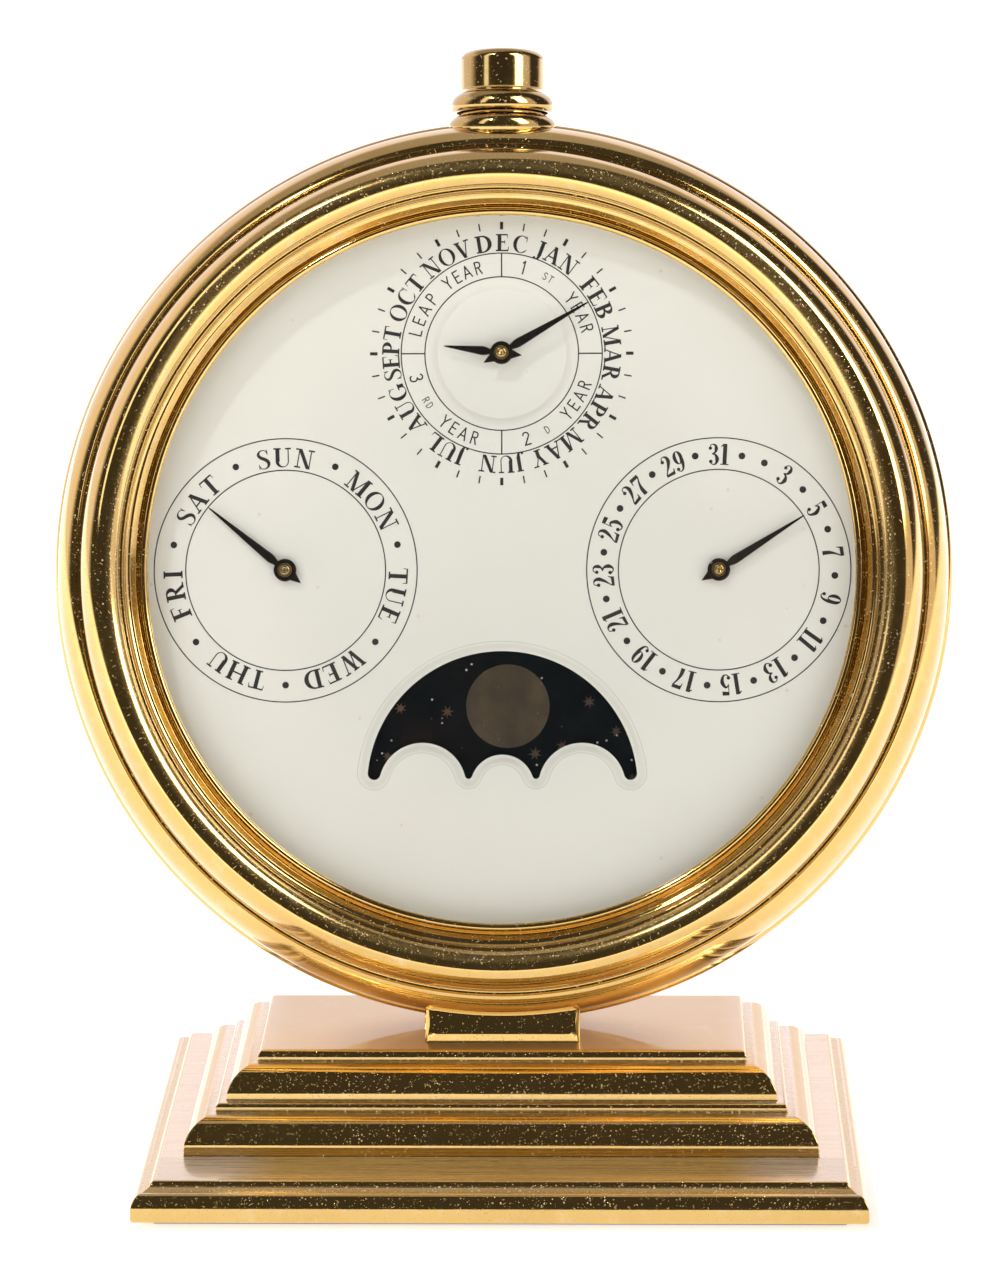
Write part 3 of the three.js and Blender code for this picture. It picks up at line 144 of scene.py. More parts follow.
make_camera()


# Materials
class Nodes:
    """A node tree, built from its inputs to its output."""

    def __init__(self, owner, space="Object"):
        self.owner = owner
        owner.use_nodes = True
        self.tree = owner.node_tree
        self.tree.nodes.clear()
        self.coords = self.add("TexCoord").outputs[space]

    def add(self, kind, values=None, **settings):
        node = self.tree.nodes.new("ShaderNode" + kind)
        for key, value in settings.items():
            setattr(node, key, value)
        for key, value in (values or {}).items():
            self.put(node.inputs[key], value)
        return node

    def put(self, socket, value):
        if isinstance(value, bpy.types.NodeSocket):
            self.tree.links.new(value, socket)
        elif isinstance(value, tuple) and len(value) == 3 and socket.type == "RGBA":
            socket.default_value = (*value, 1)
        else:
            socket.default_value = value

    def value(self, kind, values, **settings):
        return self.add(kind, values, **settings).outputs[0]

    def math(self, operation, first, *others):
        for other in others or (0,):
            first = self.value("Math", {0: first, 1: other}, operation=operation)
        return first

    def plus(self, *terms):
        return self.math("ADD", *terms)

    def times(self, *factors):
        return self.math("MULTIPLY", *factors)

    def most(self, *choices):
        return self.math("MAXIMUM", *choices)

    def radius(self, first, second):
        return self.math("SQRT", self.plus(self.times(first, first), self.times(second, second)))

    def ramp(self, value, low, high, to_low=0, to_high=1):
        values = {"Value": value, "From Min": low, "From Max": high, "To Min": to_low, "To Max": to_high}
        return self.value("MapRange", values, interpolation_type="SMOOTHSTEP")

    def between(self, value, low, high, outside, inside=0):
        return self.times(self.ramp(value, low - outside, low + inside),
                          self.ramp(value, high + outside, high - inside))

    def mix(self, share, first, second):
        return self.add("Mix", {0: share, 6: first, 7: second}, data_type="RGBA").outputs[2]

    def blend(self, share, first, second):
        return self.add("Mix", {0: share, 2: first, 3: second}, data_type="FLOAT").outputs[0]

    def vector(self, operation, values):
        return self.value("VectorMath", values, operation=operation)

    def scaled(self, vector, scale):
        return self.vector("MULTIPLY", {0: vector, 1: scale})

    def toned(self, colour, scale):
        return self.vector("SCALE", {0: colour, "Scale": scale})

    def noise(self, scale, detail=3, roughness=0.55, vector=None, output=0):
        values = {"Vector": vector or self.coords, "Scale": scale, "Detail": detail, "Roughness": roughness}
        return self.add("TexNoise", values).outputs[output]

    def specks(self, scale, size, share, vector=None):
        cells = self.add("TexVoronoi", {"Vector": vector or self.coords, "Scale": scale})
        parts = self.add("SeparateColor", {0: cells.outputs["Color"]})
        grain = self.times(parts.outputs[1], size)
        near = self.ramp(self.math("SUBTRACT", cells.outputs["Distance"], grain), 0, -0.12 * size)
        return self.times(near, self.math("GREATER_THAN", parts.outputs[0], 1 - share))

    def bump(self, height, distance, strength=1, normal=None):
        values = {"Height": height, "Distance": distance, "Strength": strength}
        return self.value("Bump", {**values, "Normal": normal} if normal else values)

    def surface(self, **inputs):
        values = {key.replace("_", " ").title().replace("Ior", "IOR"): inputs[key] for key in inputs}
        return self.finish(self.value("BsdfPrincipled", values))

    def finish(self, surface, kind="Material"):
        self.add("Output" + kind, {"Surface": surface})
        return self.owner

    def sizes(self, vector=None):
        return self.add("SeparateXYZ", {0: vector or self.coords}).outputs


def shader(name):
    return Nodes(bpy.data.materials.new(name))


def fibres(s, share):
    """Fine short curled fibres of dust that lie in three directions."""
    curl = s.scaled(s.noise(1300, 2, 0.5, output="Color"), (0.0005, 0.0005, 0.0005))
    bent = s.vector("ADD", {0: s.coords, 1: curl})
    lines = []
    for axis, turn in (("Y_AXIS", 0.5), ("Y_AXIS", 2.2), ("Z_AXIS", 1.1)):
        turned = s.value("VectorRotate", {"Vector": bent, "Angle": turn}, rotation_type=axis)
        lines.append(s.specks(1, 0.24, share, s.scaled(turned, (700, 5600, 5600))))
    return s.most(*lines)


GOLD = (0.77, 0.51, 0.145)
GOLD_DEEP = (0.73, 0.46, 0.12)
GOLD_PALE = (0.82, 0.58, 0.26)
DUST = (0.68, 0.53, 0.32)


def brushed_film(s, tint, rough, amount):
    """Tint, roughness and dust of the brushed flats, with a film of dust on the lower front ledge whose gold tint
    is also a painted reflection of the lower tier, and with the flats painted paler towards their ends as a
    painted reflection of white.
    """
    flat = s.ramp(s.sizes(s.add("TexCoord").outputs["Normal"])[2], 0.9, 0.985)
    grain = s.noise(1, 4, 0.7, vector=s.scaled(s.coords, (60, 1900, 1900)))
    rough = s.blend(flat, rough, s.ramp(grain, 0.3, 0.7, 0.22, 0.36))
    x, y, z = s.sizes()
    # The film is dust, with a gold tint that is also a painted reflection of the lower tier in the ledge.
    film = s.times(s.ramp(y, -0.0193, -0.0205), s.ramp(z, 0.0068, 0.0058), flat,
                   s.ramp(grain, 0.2, 0.8, 0.60, 0.85))
    # Painted reflection: the flats are made paler towards their ends.
    ends = s.times(s.ramp(s.math("ABSOLUTE", x), 0.028, 0.036, 0, 0.75), flat)
    top = s.times(s.ramp(z, 0.0164, 0.0170), flat)
    tint = s.mix(film, tint, (0.92, 0.62, 0.22))
    tint = s.mix(ends, tint, (1, 0.86, 0.74))
    tint = s.mix(s.times(top, 0.3), tint, (1, 0.88, 0.82))
    return tint, s.blend(top, rough, 0.42), s.most(amount, film)


def gilt(name, dust, band=None, ledges=(), brushed=False, haze=0.03, soft=0, painted_shade_tone=1):
    """Lacquered gilt brass: a mirror with faint tarnish, hairlines and dust."""
    s = shader(name)
    cloud = s.noise(28, 4, 0.6)
    colour = s.mix(s.ramp(cloud, 0.35, 0.7), GOLD, GOLD_DEEP)
    colour = s.mix(s.ramp(s.noise(420, 5, 0.65), 0.5, 0.8), colour, GOLD_PALE)
    spots = s.times(s.specks(2700, 0.36, 0.08 + 0.5 * dust), 0.75)
    large = s.specks(1500, 0.18, 0.04 + 0.22 * dust)
    mask = s.most(spots, large, fibres(s, 0.08 + 0.35 * dust))
    patch = s.ramp(s.noise(90), 0.42, 0.66)
    amount = s.times(mask, s.plus(0.5, s.times(patch, 0.5)))
    if band:
        x, _, z = s.sizes()
        radius = s.radius(x, z)
        upward = s.ramp(s.math("DIVIDE", z, radius), 0.3, 1)
        radius = s.math("SUBTRACT", radius, s.times(upward, 0.0022))
        grit = s.most(s.specks(3000, 0.42, 0.5), s.times(s.noise(4000), 0.4))
        amount = s.most(amount, s.times(grit, s.between(radius, *band, 0.0006, 0.0002)))
    for low, high in ledges:
        grit = s.most(s.specks(2100, 0.42, 0.5), s.times(s.noise(3500), 0.5))
        amount = s.most(amount, s.times(grit, s.between(s.sizes()[2], low, high, 0.0002)))
    veil = s.times(s.ramp(s.noise(240, 5, 0.7), 0.35, 0.75), 2 * haze)
    amount = s.value("Clamp", {0: s.most(s.times(amount, 0.85), veil)})
    # Painted shade: the colour may be scaled darker here, as for the button and its collar.
    tint = s.mix(amount, s.toned(colour, painted_shade_tone), DUST)
    rough = s.blend(amount, s.ramp(cloud, 0.3, 0.8, 0.05 + soft, 0.12 + soft), 0.55)
    stretch, depth, gloss = (900, 900, 900), 0.0000012, 1.5
    if brushed:
        tint, rough, amount = brushed_film(s, tint, rough, amount)
        stretch, depth, gloss = (120, 2600, 2600), 0.0000022, 1.6
    normal = s.bump(s.noise(160, 3, 0.5), 0.0000035)
    normal = s.bump(s.noise(1, 4, 0.7, vector=s.scaled(s.coords, stretch)), depth, normal=normal)
    normal = s.bump(mask, 0.00002, 0.4, normal=normal)
    return s.surface(base_color=tint, metallic=s.ramp(amount, 0, 1, 1, 0.25), roughness=rough,
                     normal=normal, coat_weight=1, coat_roughness=0.03, coat_ior=gloss)


def works_metal(name, base, other, roughness, stretch):
    """Brushed metal of the works."""
    s = shader(name)
    lines = s.noise(1, 5, 0.7, vector=s.scaled(s.coords, stretch))
    rough = s.ramp(s.noise(120), 0.2, 0.8, roughness * 0.8, roughness * 1.3)
    return s.surface(base_color=s.mix(s.ramp(lines, 0.3, 0.7), base, other), metallic=1, roughness=rough,
                     normal=s.bump(lines, 0.000006))


def enamel(name, base, other, roughness, dust=0, rim=0):
    """Enamel or paint with a slight cloud in its tone, a few dust motes and perhaps a rim painted paler, which is
    painted light.
    """
    s = shader(name)
    colour = s.mix(s.ramp(s.noise(45, 4), 0.3, 0.75), base, other)
    # Painted light: the colour is made paler towards the outer edge, where the bezel shades the dial.
    if rim:
        x, _, z = s.sizes()
        colour = s.toned(colour, s.ramp(s.radius(x, z), 0.02, 0.0415, 1, 1 + rim))
    motes = s.specks(900, 0.22, dust)
    rough = s.ramp(s.noise(300), 0.2, 0.8, roughness * 0.85, roughness * 1.15)
    return s.surface(base_color=s.mix(s.times(motes, 0.4), colour, DUST), roughness=rough,
                     normal=s.bump(s.noise(700), 0.000004))


def night_material():
    """Dark blue enamel with white dust motes and a red-brown cast to one side."""
    s = shader("night_enamel")
    cast = s.times(s.ramp(s.sizes()[0], 0.004, -0.014), s.ramp(s.noise(130, 4), 0.35, 0.7))
    colour = s.mix(s.times(cast, 0.6), (0.0012, 0.0032, 0.0050), (0.016, 0.0085, 0.007))
    motes = s.most(s.specks(1500, 0.26, 0.22), s.specks(700, 0.15, 0.12))
    motes = s.times(motes, s.ramp(s.noise(210), 0.32, 0.55))
    colour = s.mix(s.times(motes, 0.85), colour, (0.50, 0.50, 0.52))
    rough = s.ramp(s.noise(380), 0.2, 0.8, 0.16, 0.28)
    return s.surface(base_color=colour, roughness=rough, normal=s.bump(motes, 0.000015, 0.5))


def old_gilt(name, base, other):
    """Dull brown gilding of the moon and the stars."""
    s = shader(name)
    cloud = s.noise(260, 5, 0.6)
    light = s.ramp(s.noise(1, 2, vector=s.scaled(s.coords, (150, 150, 60))), 0.3, 0.7, 0.75, 1.2)
    # Painted light: the gilding is made lighter towards the bottom of the disc.
    light = s.times(light, s.ramp(s.sizes()[2], 0, -0.022, 0.8, 1.25))
    colour = s.toned(s.mix(s.ramp(cloud, 0.3, 0.7), base, other), light)
    motes = s.most(s.specks(2100, 0.26, 0.12), s.specks(1100, 0.15, 0.12))
    motes = s.times(motes, s.ramp(s.noise(190), 0.34, 0.52))
    colour = s.mix(s.times(motes, 0.7), colour, (0.5, 0.48, 0.42))
    return s.surface(base_color=colour, metallic=0.35, roughness=s.ramp(cloud, 0.2, 0.8, 0.38, 0.55),
                     normal=s.bump(cloud, 0.000006))


def glass_material():
    """Clear crystal: what lies behind shows through, and the lights show in its gloss."""
    s = shader("crystal_glass")
    smear = s.ramp(s.noise(70, 4, 0.6), 0.45, 0.75, 0.02, 0.10)
    clear = s.value("BsdfTransparent", {0: (0.985, 0.99, 0.985)})
    gloss = s.value("BsdfGlossy", {"Color": (1, 1, 1), "Roughness": smear})
    share = s.times(s.value("Fresnel", {"IOR": 1.45}), 0.5)
    return s.finish(s.value("MixShader", {0: share, 1: clear, 2: gloss}))


def felt_material():
    s = shader("felt")
    nap = s.noise(2600, 5, 0.75)
    colour = s.mix(s.ramp(nap, 0.3, 0.75), (0.022, 0.020, 0.017), (0.075, 0.068, 0.058))
    colour = s.mix(s.ramp(s.noise(160), 0.4, 0.7, 0, 0.3), colour, (0.04, 0.045, 0.035))
    return s.surface(base_color=colour, roughness=0.95, normal=s.bump(nap, 0.00012),
                     sheen_weight=0.4, sheen_roughness=0.5)


def rubber_material():
    s = shader("gasket_rubber")
    grain = s.noise(1500, 4, 0.6)
    colour = s.mix(s.ramp(grain, 0.3, 0.7), (0.012, 0.012, 0.012), (0.03, 0.029, 0.028))
    return s.surface(base_color=colour, roughness=s.ramp(grain, 0.2, 0.8, 0.5, 0.7),
                     normal=s.bump(grain, 0.00001))


LEDGES = ((0.0048, 0.0053), (0.0106, 0.0112), (0.0117, 0.0121), (0.0158, 0.0163))
GILT = gilt("gilt", 0.3)
GILT_BEZEL = gilt("gilt_bezel", 0.3, band=(0.0502, 0.0515), haze=0.05)
GILT_FOOT = gilt("gilt_foot", 0.7, ledges=LEDGES, brushed=True)
# A darker copy of the gilt for the button, collar, sleeve and arbor ends: its colour is scaled down to 0.72 as
# painted shade.
GILT_SMALL = gilt("gilt_small", 0.25, haze=0.05, soft=0.03, painted_shade_tone=0.72)
BRASS = works_metal("plate_brass", (0.60, 0.43, 0.19), (0.72, 0.55, 0.28), 0.3, (3000, 160, 160))
STEEL = works_metal("steel", (0.46, 0.46, 0.47), (0.60, 0.60, 0.61), 0.28, (160, 160, 2600))
PIN_DARK = works_metal("pin_brass", (0.30, 0.19, 0.07), (0.42, 0.29, 0.12), 0.3, (1800, 1800, 1800))
# The last argument paints the dial paler towards its rim, as painted light.
DIAL_WHITE = enamel("dial_white", (0.800, 0.780, 0.715), (0.780, 0.758, 0.690), 0.5, 0.03, 0.09)
WINDOW_LINE_GREY = enamel("window_edge", (0.42, 0.41, 0.37), (0.50, 0.49, 0.44), 0.5)
PRINT_BLACK = enamel("dial_print", (0.018, 0.016, 0.015), (0.030, 0.027, 0.024), 0.5)
HAND_BLACK = enamel("hand_black", (0.010, 0.008, 0.007), (0.020, 0.015, 0.012), 0.22, 0.08)
NIGHT = night_material()
MOON_GILT = old_gilt("moon_gilt", (0.078, 0.055, 0.030), (0.055, 0.038, 0.021))
STAR_GILT = old_gilt("star_gilt", (0.085, 0.048, 0.026), (0.055, 0.030, 0.018))
GLASS = glass_material()
FELT = felt_material()
RUBBER = rubber_material()


def own_slot(material):
    """The slot that a material is named after; a number may follow the name."""
    return material.name.split(".")[0]


SLOTS = {own_slot(material): material for material in
         (GILT, BRASS, STEEL, GLASS, RUBBER, DIAL_WHITE, NIGHT, HAND_BLACK, FELT)}


# Meshes
def polar(centre, turn, out, along=0):
    """A point that lies out from a centre, in a direction clockwise from the top, and along beside it."""
    return (centre[0] + out * sin(turn) + along * cos(turn),
            centre[1] + out * cos(turn) - along * sin(turn))


def circle(radius, sides, centre=(0, 0)):
    return [polar(centre, TURN * i / sides, radius) for i in range(sides)]


def ellipse(centre, across, along, start, end, steps):
    """Points of a stretch of an ellipse, with its angles in degrees."""
    points = []
    for step in range(steps + 1):
        angle = radians(start + (end - start) * step / steps)
        points.append((centre[0] + across * cos(angle), centre[1] + along * sin(angle)))
    return points


def arc(centre, radius, start, end, steps):
    return ellipse(centre, radius, radius, start, end, steps)


def softened(profile, radius, steps=3, closed=True):
    """The profile with its sharp corners rounded."""
    result = []
    count = len(profile)
    for index, point in enumerate(profile):
        if not closed and index in (0, count - 1):
            result.append(point)
            continue
        here = Vector(point)
        before = Vector(profile[index - 1]) - here
        after = Vector(profile[(index + 1) % count]) - here
        if before.length < TINY or after.length < TINY:
            continue
        if pi - before.angle(after) < radians(20):
            result.append(point)
            continue
        reach = min(radius, 0.4 * before.length, 0.4 * after.length)
        first = here + before.normalized() * reach
        last = here + after.normalized() * reach
        for step in range(steps + 1):
            t = step / steps
            spot = first * (1 - t) ** 2 + here * 2 * t * (1 - t) + last * t ** 2
            result.append((spot.x, spot.y))
    return result


def lathe(profile, sides=LATHE_SIDES, upright=False):
    """A turned form round the Y axis, or round Z when upright, from (radius, depth) points.

    The outline closes on itself, or starts and ends on the axis.
    """
    verts, rings, faces = [], [], []
    for radius, depth in profile:
        ring = circle(radius, sides) if radius >= TINY else [(0, 0)]
        rings.append(range(len(verts), len(verts) + len(ring)))
        verts += [(x, z, depth) if upright else (x, depth, z) for x, z in ring]
    for low, high in zip(rings, rings[1:] + rings[:1]):
        if len(low) == 1 and len(high) == 1:
            continue
        for i in range(sides):
            j = (i + 1) % sides
            face = [low[i % len(low)], low[j % len(low)], high[j % len(high)], high[i % len(high)]]
            faces.append(list(dict.fromkeys(face)))
    return verts, faces


def bridged(loops, capped=True):
    """A solid through closed loops of as many points each."""
    count = len(loops[0])
    verts = [point for loop in loops for point in loop]
    last = len(verts) - count
    faces = [[low + i, low + (i + 1) % count, low + count + (i + 1) % count, low + count + i]
             for low in range(0, last, count) for i in range(count)]
    if capped:
        faces += [list(range(count)), list(range(last, len(verts)))]
    return verts, faces


def joined(*forms):
    verts, faces = [], []
    for form_verts, form_faces in forms:
        start = len(verts)
        verts += list(form_verts)
        faces += [[start + index for index in face] for face in form_faces]
    return verts, faces


def moved(form, place, upright=False):
    """A turned form, shifted to a place in the plane across its axis."""
    a, b = place
    verts, faces = form
    return [(x + a, y + b, z) if upright else (x + a, y, z + b) for x, y, z in verts], faces


def to_mesh(name, form, sharp, material):
    verts, faces = form
    mesh = bpy.data.meshes.new(name)
    mesh.from_pydata([Vector(v) * MM for v in verts], [], faces)
    work = bmesh.new()
    work.from_mesh(mesh)
    bmesh.ops.remove_doubles(work, verts=work.verts, dist=1e-7)
    bmesh.ops.dissolve_degenerate(work, edges=work.edges, dist=1e-8)
    bmesh.ops.recalc_face_normals(work, faces=work.faces)
    work.to_mesh(mesh)
    work.free()
    mesh.shade_smooth()
    mesh.set_sharp_from_angle(angle=radians(sharp))
    mesh.materials.append(material)
    return mesh


def bake(piece):
    """Applies the modifiers of an object to its mesh."""
    graph = bpy.context.evaluated_depsgraph_get()
    mesh = bpy.data.meshes.new_from_object(piece.evaluated_get(graph))
    old = piece.data
    piece.modifiers.clear()
    piece.data = mesh
    mesh.name = piece.name
    bpy.data.meshes.remove(old)


def make(name, form, material, replaces=(), slot=None, body=ROOT, matrix=CASE, sharp=35, cutters=(),
         bevel=0, weighted=True):
    """A finished piece; cutters are forms in the frame of the case that are taken away from it."""
    piece = placed(name, to_mesh(name, form, sharp, material), matrix)
    tools = []
    for number, cutter in enumerate(cutters):
        tool = placed(f"tool_{number}", to_mesh(f"tool_{number}", cutter, sharp, material), CASE)
        cut = piece.modifiers.new(f"cut_{number}", "BOOLEAN")
        cut.operation = "DIFFERENCE"
        cut.solver = "EXACT"
        cut.object = tool
        tools.append(tool)
    if bevel:
        edge = piece.modifiers.new("edge", "BEVEL")
        edge.width = bevel * MM
        edge.segments = 3
        edge.limit_method = "ANGLE"
        edge.angle_limit = radians(28)
    if weighted:
        piece.modifiers.new("normals", "WEIGHTED_NORMAL").keep_sharp = True
        bpy.context.view_layer.update()
        bake(piece)
    for tool in tools:
        old = tool.data
        bpy.data.objects.remove(tool)
        bpy.data.meshes.remove(old)
    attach(piece, body)
    slot = slot or own_slot(material)
    if replaces:
        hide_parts(*replaces)


def signed_area(outline):
    return sum(a[0] * b[1] - b[0] * a[1] for a, b in zip(outline, outline[1:] + outline[:1])) / 2


def region(added, removed=()):
    """Triangles of the area inside any added outline and outside every removed one."""
    points, faces = [], []
    for outline in list(added) + list(removed):
        outline = outline if signed_area(outline) > 0 else outline[::-1]
        faces.append(list(range(len(points), len(points) + len(outline))))
        points += [Vector(point) for point in outline]
    out = delaunay_2d_cdt(points, [], faces, 1, 1e-5, True)
    verts, triangles, sources = out[0], out[2], out[5]
    count = len(added)
    kept = [face for face, origin in zip(triangles, sources)
            if any(i < count for i in origin) and not any(i >= count for i in origin)]
    return [(v.x, v.y) for v in verts], kept


def walls(faces):
    """The boundary edges of a set of faces, in their own direction."""
    edges = {}
    for face in faces:
        for i, start in enumerate(face):
            edges[(start, face[(i + 1) % len(face)])] = True
    return [edge for edge in edges if (edge[1], edge[0]) not in edges]


def sheet(added, removed, front, back):
    """A flat closed piece between two depths in the case frame."""
    points, faces = region(added, removed)
    count = len(points)
    verts = [(x, front, z) for x, z in points] + [(x, back, z) for x, z in points]
    result = [list(face) for face in faces] + [[i + count for i in reversed(face)] for face in faces]
    result += [[b, a, a + count, b + count] for a, b in walls(faces)]
    return verts, result


def ring_profile(inner, outer, front, back):
    return [(inner, front), (outer, front), (outer, back), (inner, back)]


# Case: rim and drum, moulded bezel, cover, crystal
def block(centre, half):
    x, y, z = centre
    a, b, c = half
    return bridged([[(x - a, y - b, h), (x + a, y - b, h), (x + a, y + b, h), (x - a, y + b, h)]
                    for h in (z - c, z + c)])


def rod(radius, low, high, place=(0, 0), upright=False):
    profile = [(0, low), (radius, low), (radius, high), (0, high)]
    return moved(lathe(profile, PIN_SIDES, upright), place, upright)


def outer_moulding(grow, steps):
    width, height = MOULDING
    return ellipse((TORUS_OUTER, BEZEL_REAR - 0.5), width + grow, -(height + grow), 0, 80, steps)


def case_envelope(grow):
    """The outside of the case as one turned solid."""
    front = TORUS_SHOULDER - MOULDING[1]
    back = 13.1
    profile = [(0, front), (TORUS_OUTER, front)]
    profile += outer_moulding(grow, 20)[::-1]
    profile += [(BEZEL - 0.5 + grow, BEZEL_REAR)]
    profile += arc((RIM_CENTRE, 0), RIM_BEAD + grow, -90, 90, 16)
    profile += [(DRUM + grow, RIM_BEAD + grow), (DRUM + grow, back), (0, back)]
    return lathe(profile, 256)


COVER_SCREWS = [polar((0, 0), pi / 4 - TURN * i / 4, 51.9) for i in range(4)]
COLLAR_HOLE = rod(3.75, 47.6, 62, upright=True)
FOOT_HOLES = [rod(0.9, -62, -51, (x, 3.3), True) for x in (-3.015, 3.015)]


def build_case():
    drum = [(54, -RIM_BEAD)]
    drum += arc((RIM_CENTRE, 0), RIM_BEAD, -90, 90, 20)
    drum += arc((DRUM + 0.5, RIM_BEAD + 0.5), -0.5, 90, 0, 4)
    drum += softened([(DRUM, 9.2), (DRUM, 10), (49.8, 10), (49.8, 5.8), (54, 5.8), (54, 4)],
                     0.2, closed=False)
    make("case_band_turned", lathe(drum), GILT, ["case_band"], cutters=[COLLAR_HOLE] + FOOT_HOLES)

    edge = [(56.2, 10.8), (56.2, 11.4), (55.6, COVER_FACE), (51.2, COVER_FACE), (50.9, 11.75),
            (50.6, COVER_FACE)]
    cover = [(0, COVER_FRONT), (56.2, COVER_FRONT)] + softened(edge, 0.12, closed=False)
    cover += ellipse((0, COVER_FACE), 50.6, 0.8, 5, 90, 24)[:-1] + [(0, 12.8)]
    holes = [rod(radius, front, 14, place) for radius, front in ((0.7, 10), (1.35, 11.1))
             for place in COVER_SCREWS]
    make("rear_cover_turned", lathe(cover), GILT, ["rear_cover"], cutters=holes)

    shank = [(0, 10.9), (0.6, 10.9), (0.6, 11.4)]
    head = softened([(0.7, 11.4), (1.2, 11.4), (1.2, 11.9), (1.05, 12), (0.6, 12.02)], 0.05, closed=False)
    screw = lathe(shank + head + [(0, 12.04)], PIN_SIDES)
    for number, place in enumerate(COVER_SCREWS, 1):
        notch = block((place[0], 12.1, place[1]), (1.5, 0.28, 0.16))
        make(f"rear_cover_screw_slotted_{number}", moved(screw, place), STEEL,
             [f"rear_cover_screw_{number}"], cutters=[notch])

    front, back = CRYSTAL
    edge = softened([(47.9, front), (48.55, -8.5), (48.55, back)], 0.1, closed=False)
    make("crystal_disc", lathe([(0, front)] + edge + [(0, back)], 256), GLASS, ["crystal"])


def build_bezel():
    crest = (TORUS_OUTER + TORUS_INNER) / 2 - 0.5
    reach = TORUS_OUTER - crest
    groove = TORUS_OUTER + MOULDING[0] * cos(radians(80))
    floor = TORUS_SHOULDER + 0.62
    profile = [(BEZEL_BORE, BEZEL_REAR), (52.6, BEZEL_REAR), (52.6, 1), (53.7, 1), (53.7, BEZEL_REAR)]
    profile += [(BEZEL - 0.5, BEZEL_REAR)] + outer_moulding(0, 28)
    profile += [(groove - 0.12, floor), (TORUS_OUTER + 0.06, floor)]
    profile += ellipse((crest, TORUS_SHOULDER), reach, -TORUS_HEIGHT, 0, 90, 24)
    profile += ellipse((crest, BEAD_FOOT - 0.6), TORUS_INNER - crest, -1.4, 90, 0, 14)[1:]
    profile += [(TORUS_INNER, BEAD_FOOT), (TORUS_INNER - 0.4, BEAD_FOOT)]
    profile += ellipse((48.8, BEAD_FOOT), 0.9, 1.1, 0, 90, 8)[1:-1]
    profile += [(48.8, -10.9), (47.7, -9.7)]
    profile += ellipse((47.15, -9.7), 0.55, -0.55, 0, 180, 14)[1:]
    profile += [(46.6, -9.05), (BEZEL_BORE, -9.05)]
    make("bezel_moulded", lathe(softened(profile, 0.07, 2)), GILT_BEZEL, ["bezel"], "gilt", sharp=50,
         cutters=[COLLAR_HOLE])


# Foot
def rect_loop(half_x, front, back, inset, height):
    x = half_x - inset
    return [(-x, front + inset, height), (x, front + inset, height),
            (x, back - inset, height), (-x, back - inset, height)]


def ovolo(start, bottom, width, rise, steps=14):
    return ellipse((start + width, bottom), -width, rise, 0, 90, steps)


def build_foot():
    half_x, half_y = PLATE_HALF
    plate = [(3.2, 2.5), (3.2, PAD_TOP), (0.5, PAD_TOP), (0.22, PAD_TOP + 0.08), (0.06, PAD_TOP + 0.25),
             (0, PAD_TOP + 0.5)]
    plate += ovolo(0, 2.44, 1.47, 2.33)
    plate += [(2.38, 5.24), (2.46, 5.5), (2.72, 5.82), (3.03, 5.96)]
    tiers = [(0, 5.96)] + ovolo(0, 6.75, 4.03, 3.87)
    tiers += [(3.97, 11.2), (4.05, 11.4), (4.3, 11.66), (4.64, 11.77), (5.33, 11.77)]
    tiers += ovolo(5.33, 12, 3.95, 3.84)
    tiers += [(9.24, 16.24), (9.34, 16.7), (9.6, 17.08), (9.99, PLINTH_TOP)]
    loops = [rect_loop(*HOLLOW_RECT, 0, height) for height in (8.93, 2.5)]
    loops += [rect_loop(half_x, -half_y, half_y, *point) for point in plate]
    loops += [rect_loop(*LOWER_RECT, *point) for point in tiers]
    make("plinth_moulded", bridged(loops), GILT_FOOT, ["plinth"], "gilt", matrix=WORLD, sharp=50,
         bevel=0.11)

    inner = (half_x - 3, 3 - half_y, half_y - 3)
    pad = [rect_loop(*inner, 0.15, 0)]
    pad += [rect_loop(half_x - 2.8, 2.5 - half_y, half_y - 3, 0, height)
            for height in (0.15, PAD_TOP - 0.15)]
    pad += [rect_loop(*inner, 0.1, PAD_TOP)]
    make("felt_sheet", bridged(pad), FELT, ["felt_pad"], matrix=WORLD, weighted=False)


def pedestal_front_loop(half, bottom, top, radius, foot=0, slope=0):
    """A loop with rounded lower corners in a plane that leans back from a foot line."""
    points = [point for side, start in ((-1, 180), (1, 270))
              for point in arc((side * (half - radius), bottom + radius), radius, start, start + 90, 8)]
    points += [(half, top), (-half, top)]
    return [(x, foot + max(0, z - bottom) * slope, z) for x, z in points]


def build_pedestal():
    bottom = PLINTH_TOP + 0.02
    top = bottom + PEDESTAL_RISE
    chamfer, margin, sill = 0.25, 0.6, 1.12
    slope = tan(PEDESTAL_LEAN)
    outline = pedestal_front_loop(PEDESTAL_HALF, bottom, top, SHARP_CORNER)
    loops = [[(x, depth, z) for x, _, z in outline] for depth in (PEDESTAL_BACK, PEDESTAL_FRONT + chamfer)]
    loops.append(pedestal_front_loop(PEDESTAL_HALF - chamfer, bottom, top, SHARP_CORNER,
                                     PEDESTAL_FRONT, slope))
    loops.append(pedestal_front_loop(PEDESTAL_HALF - margin, bottom + sill, top, 1,
                                     PEDESTAL_FRONT + sill * slope + 0.02, tan(CASE_LEAN)))
    make("pedestal_block", bridged(loops), GILT, ["pedestal"], matrix=WORLD, sharp=4,
         cutters=[case_envelope(0.05)] + FOOT_HOLES)


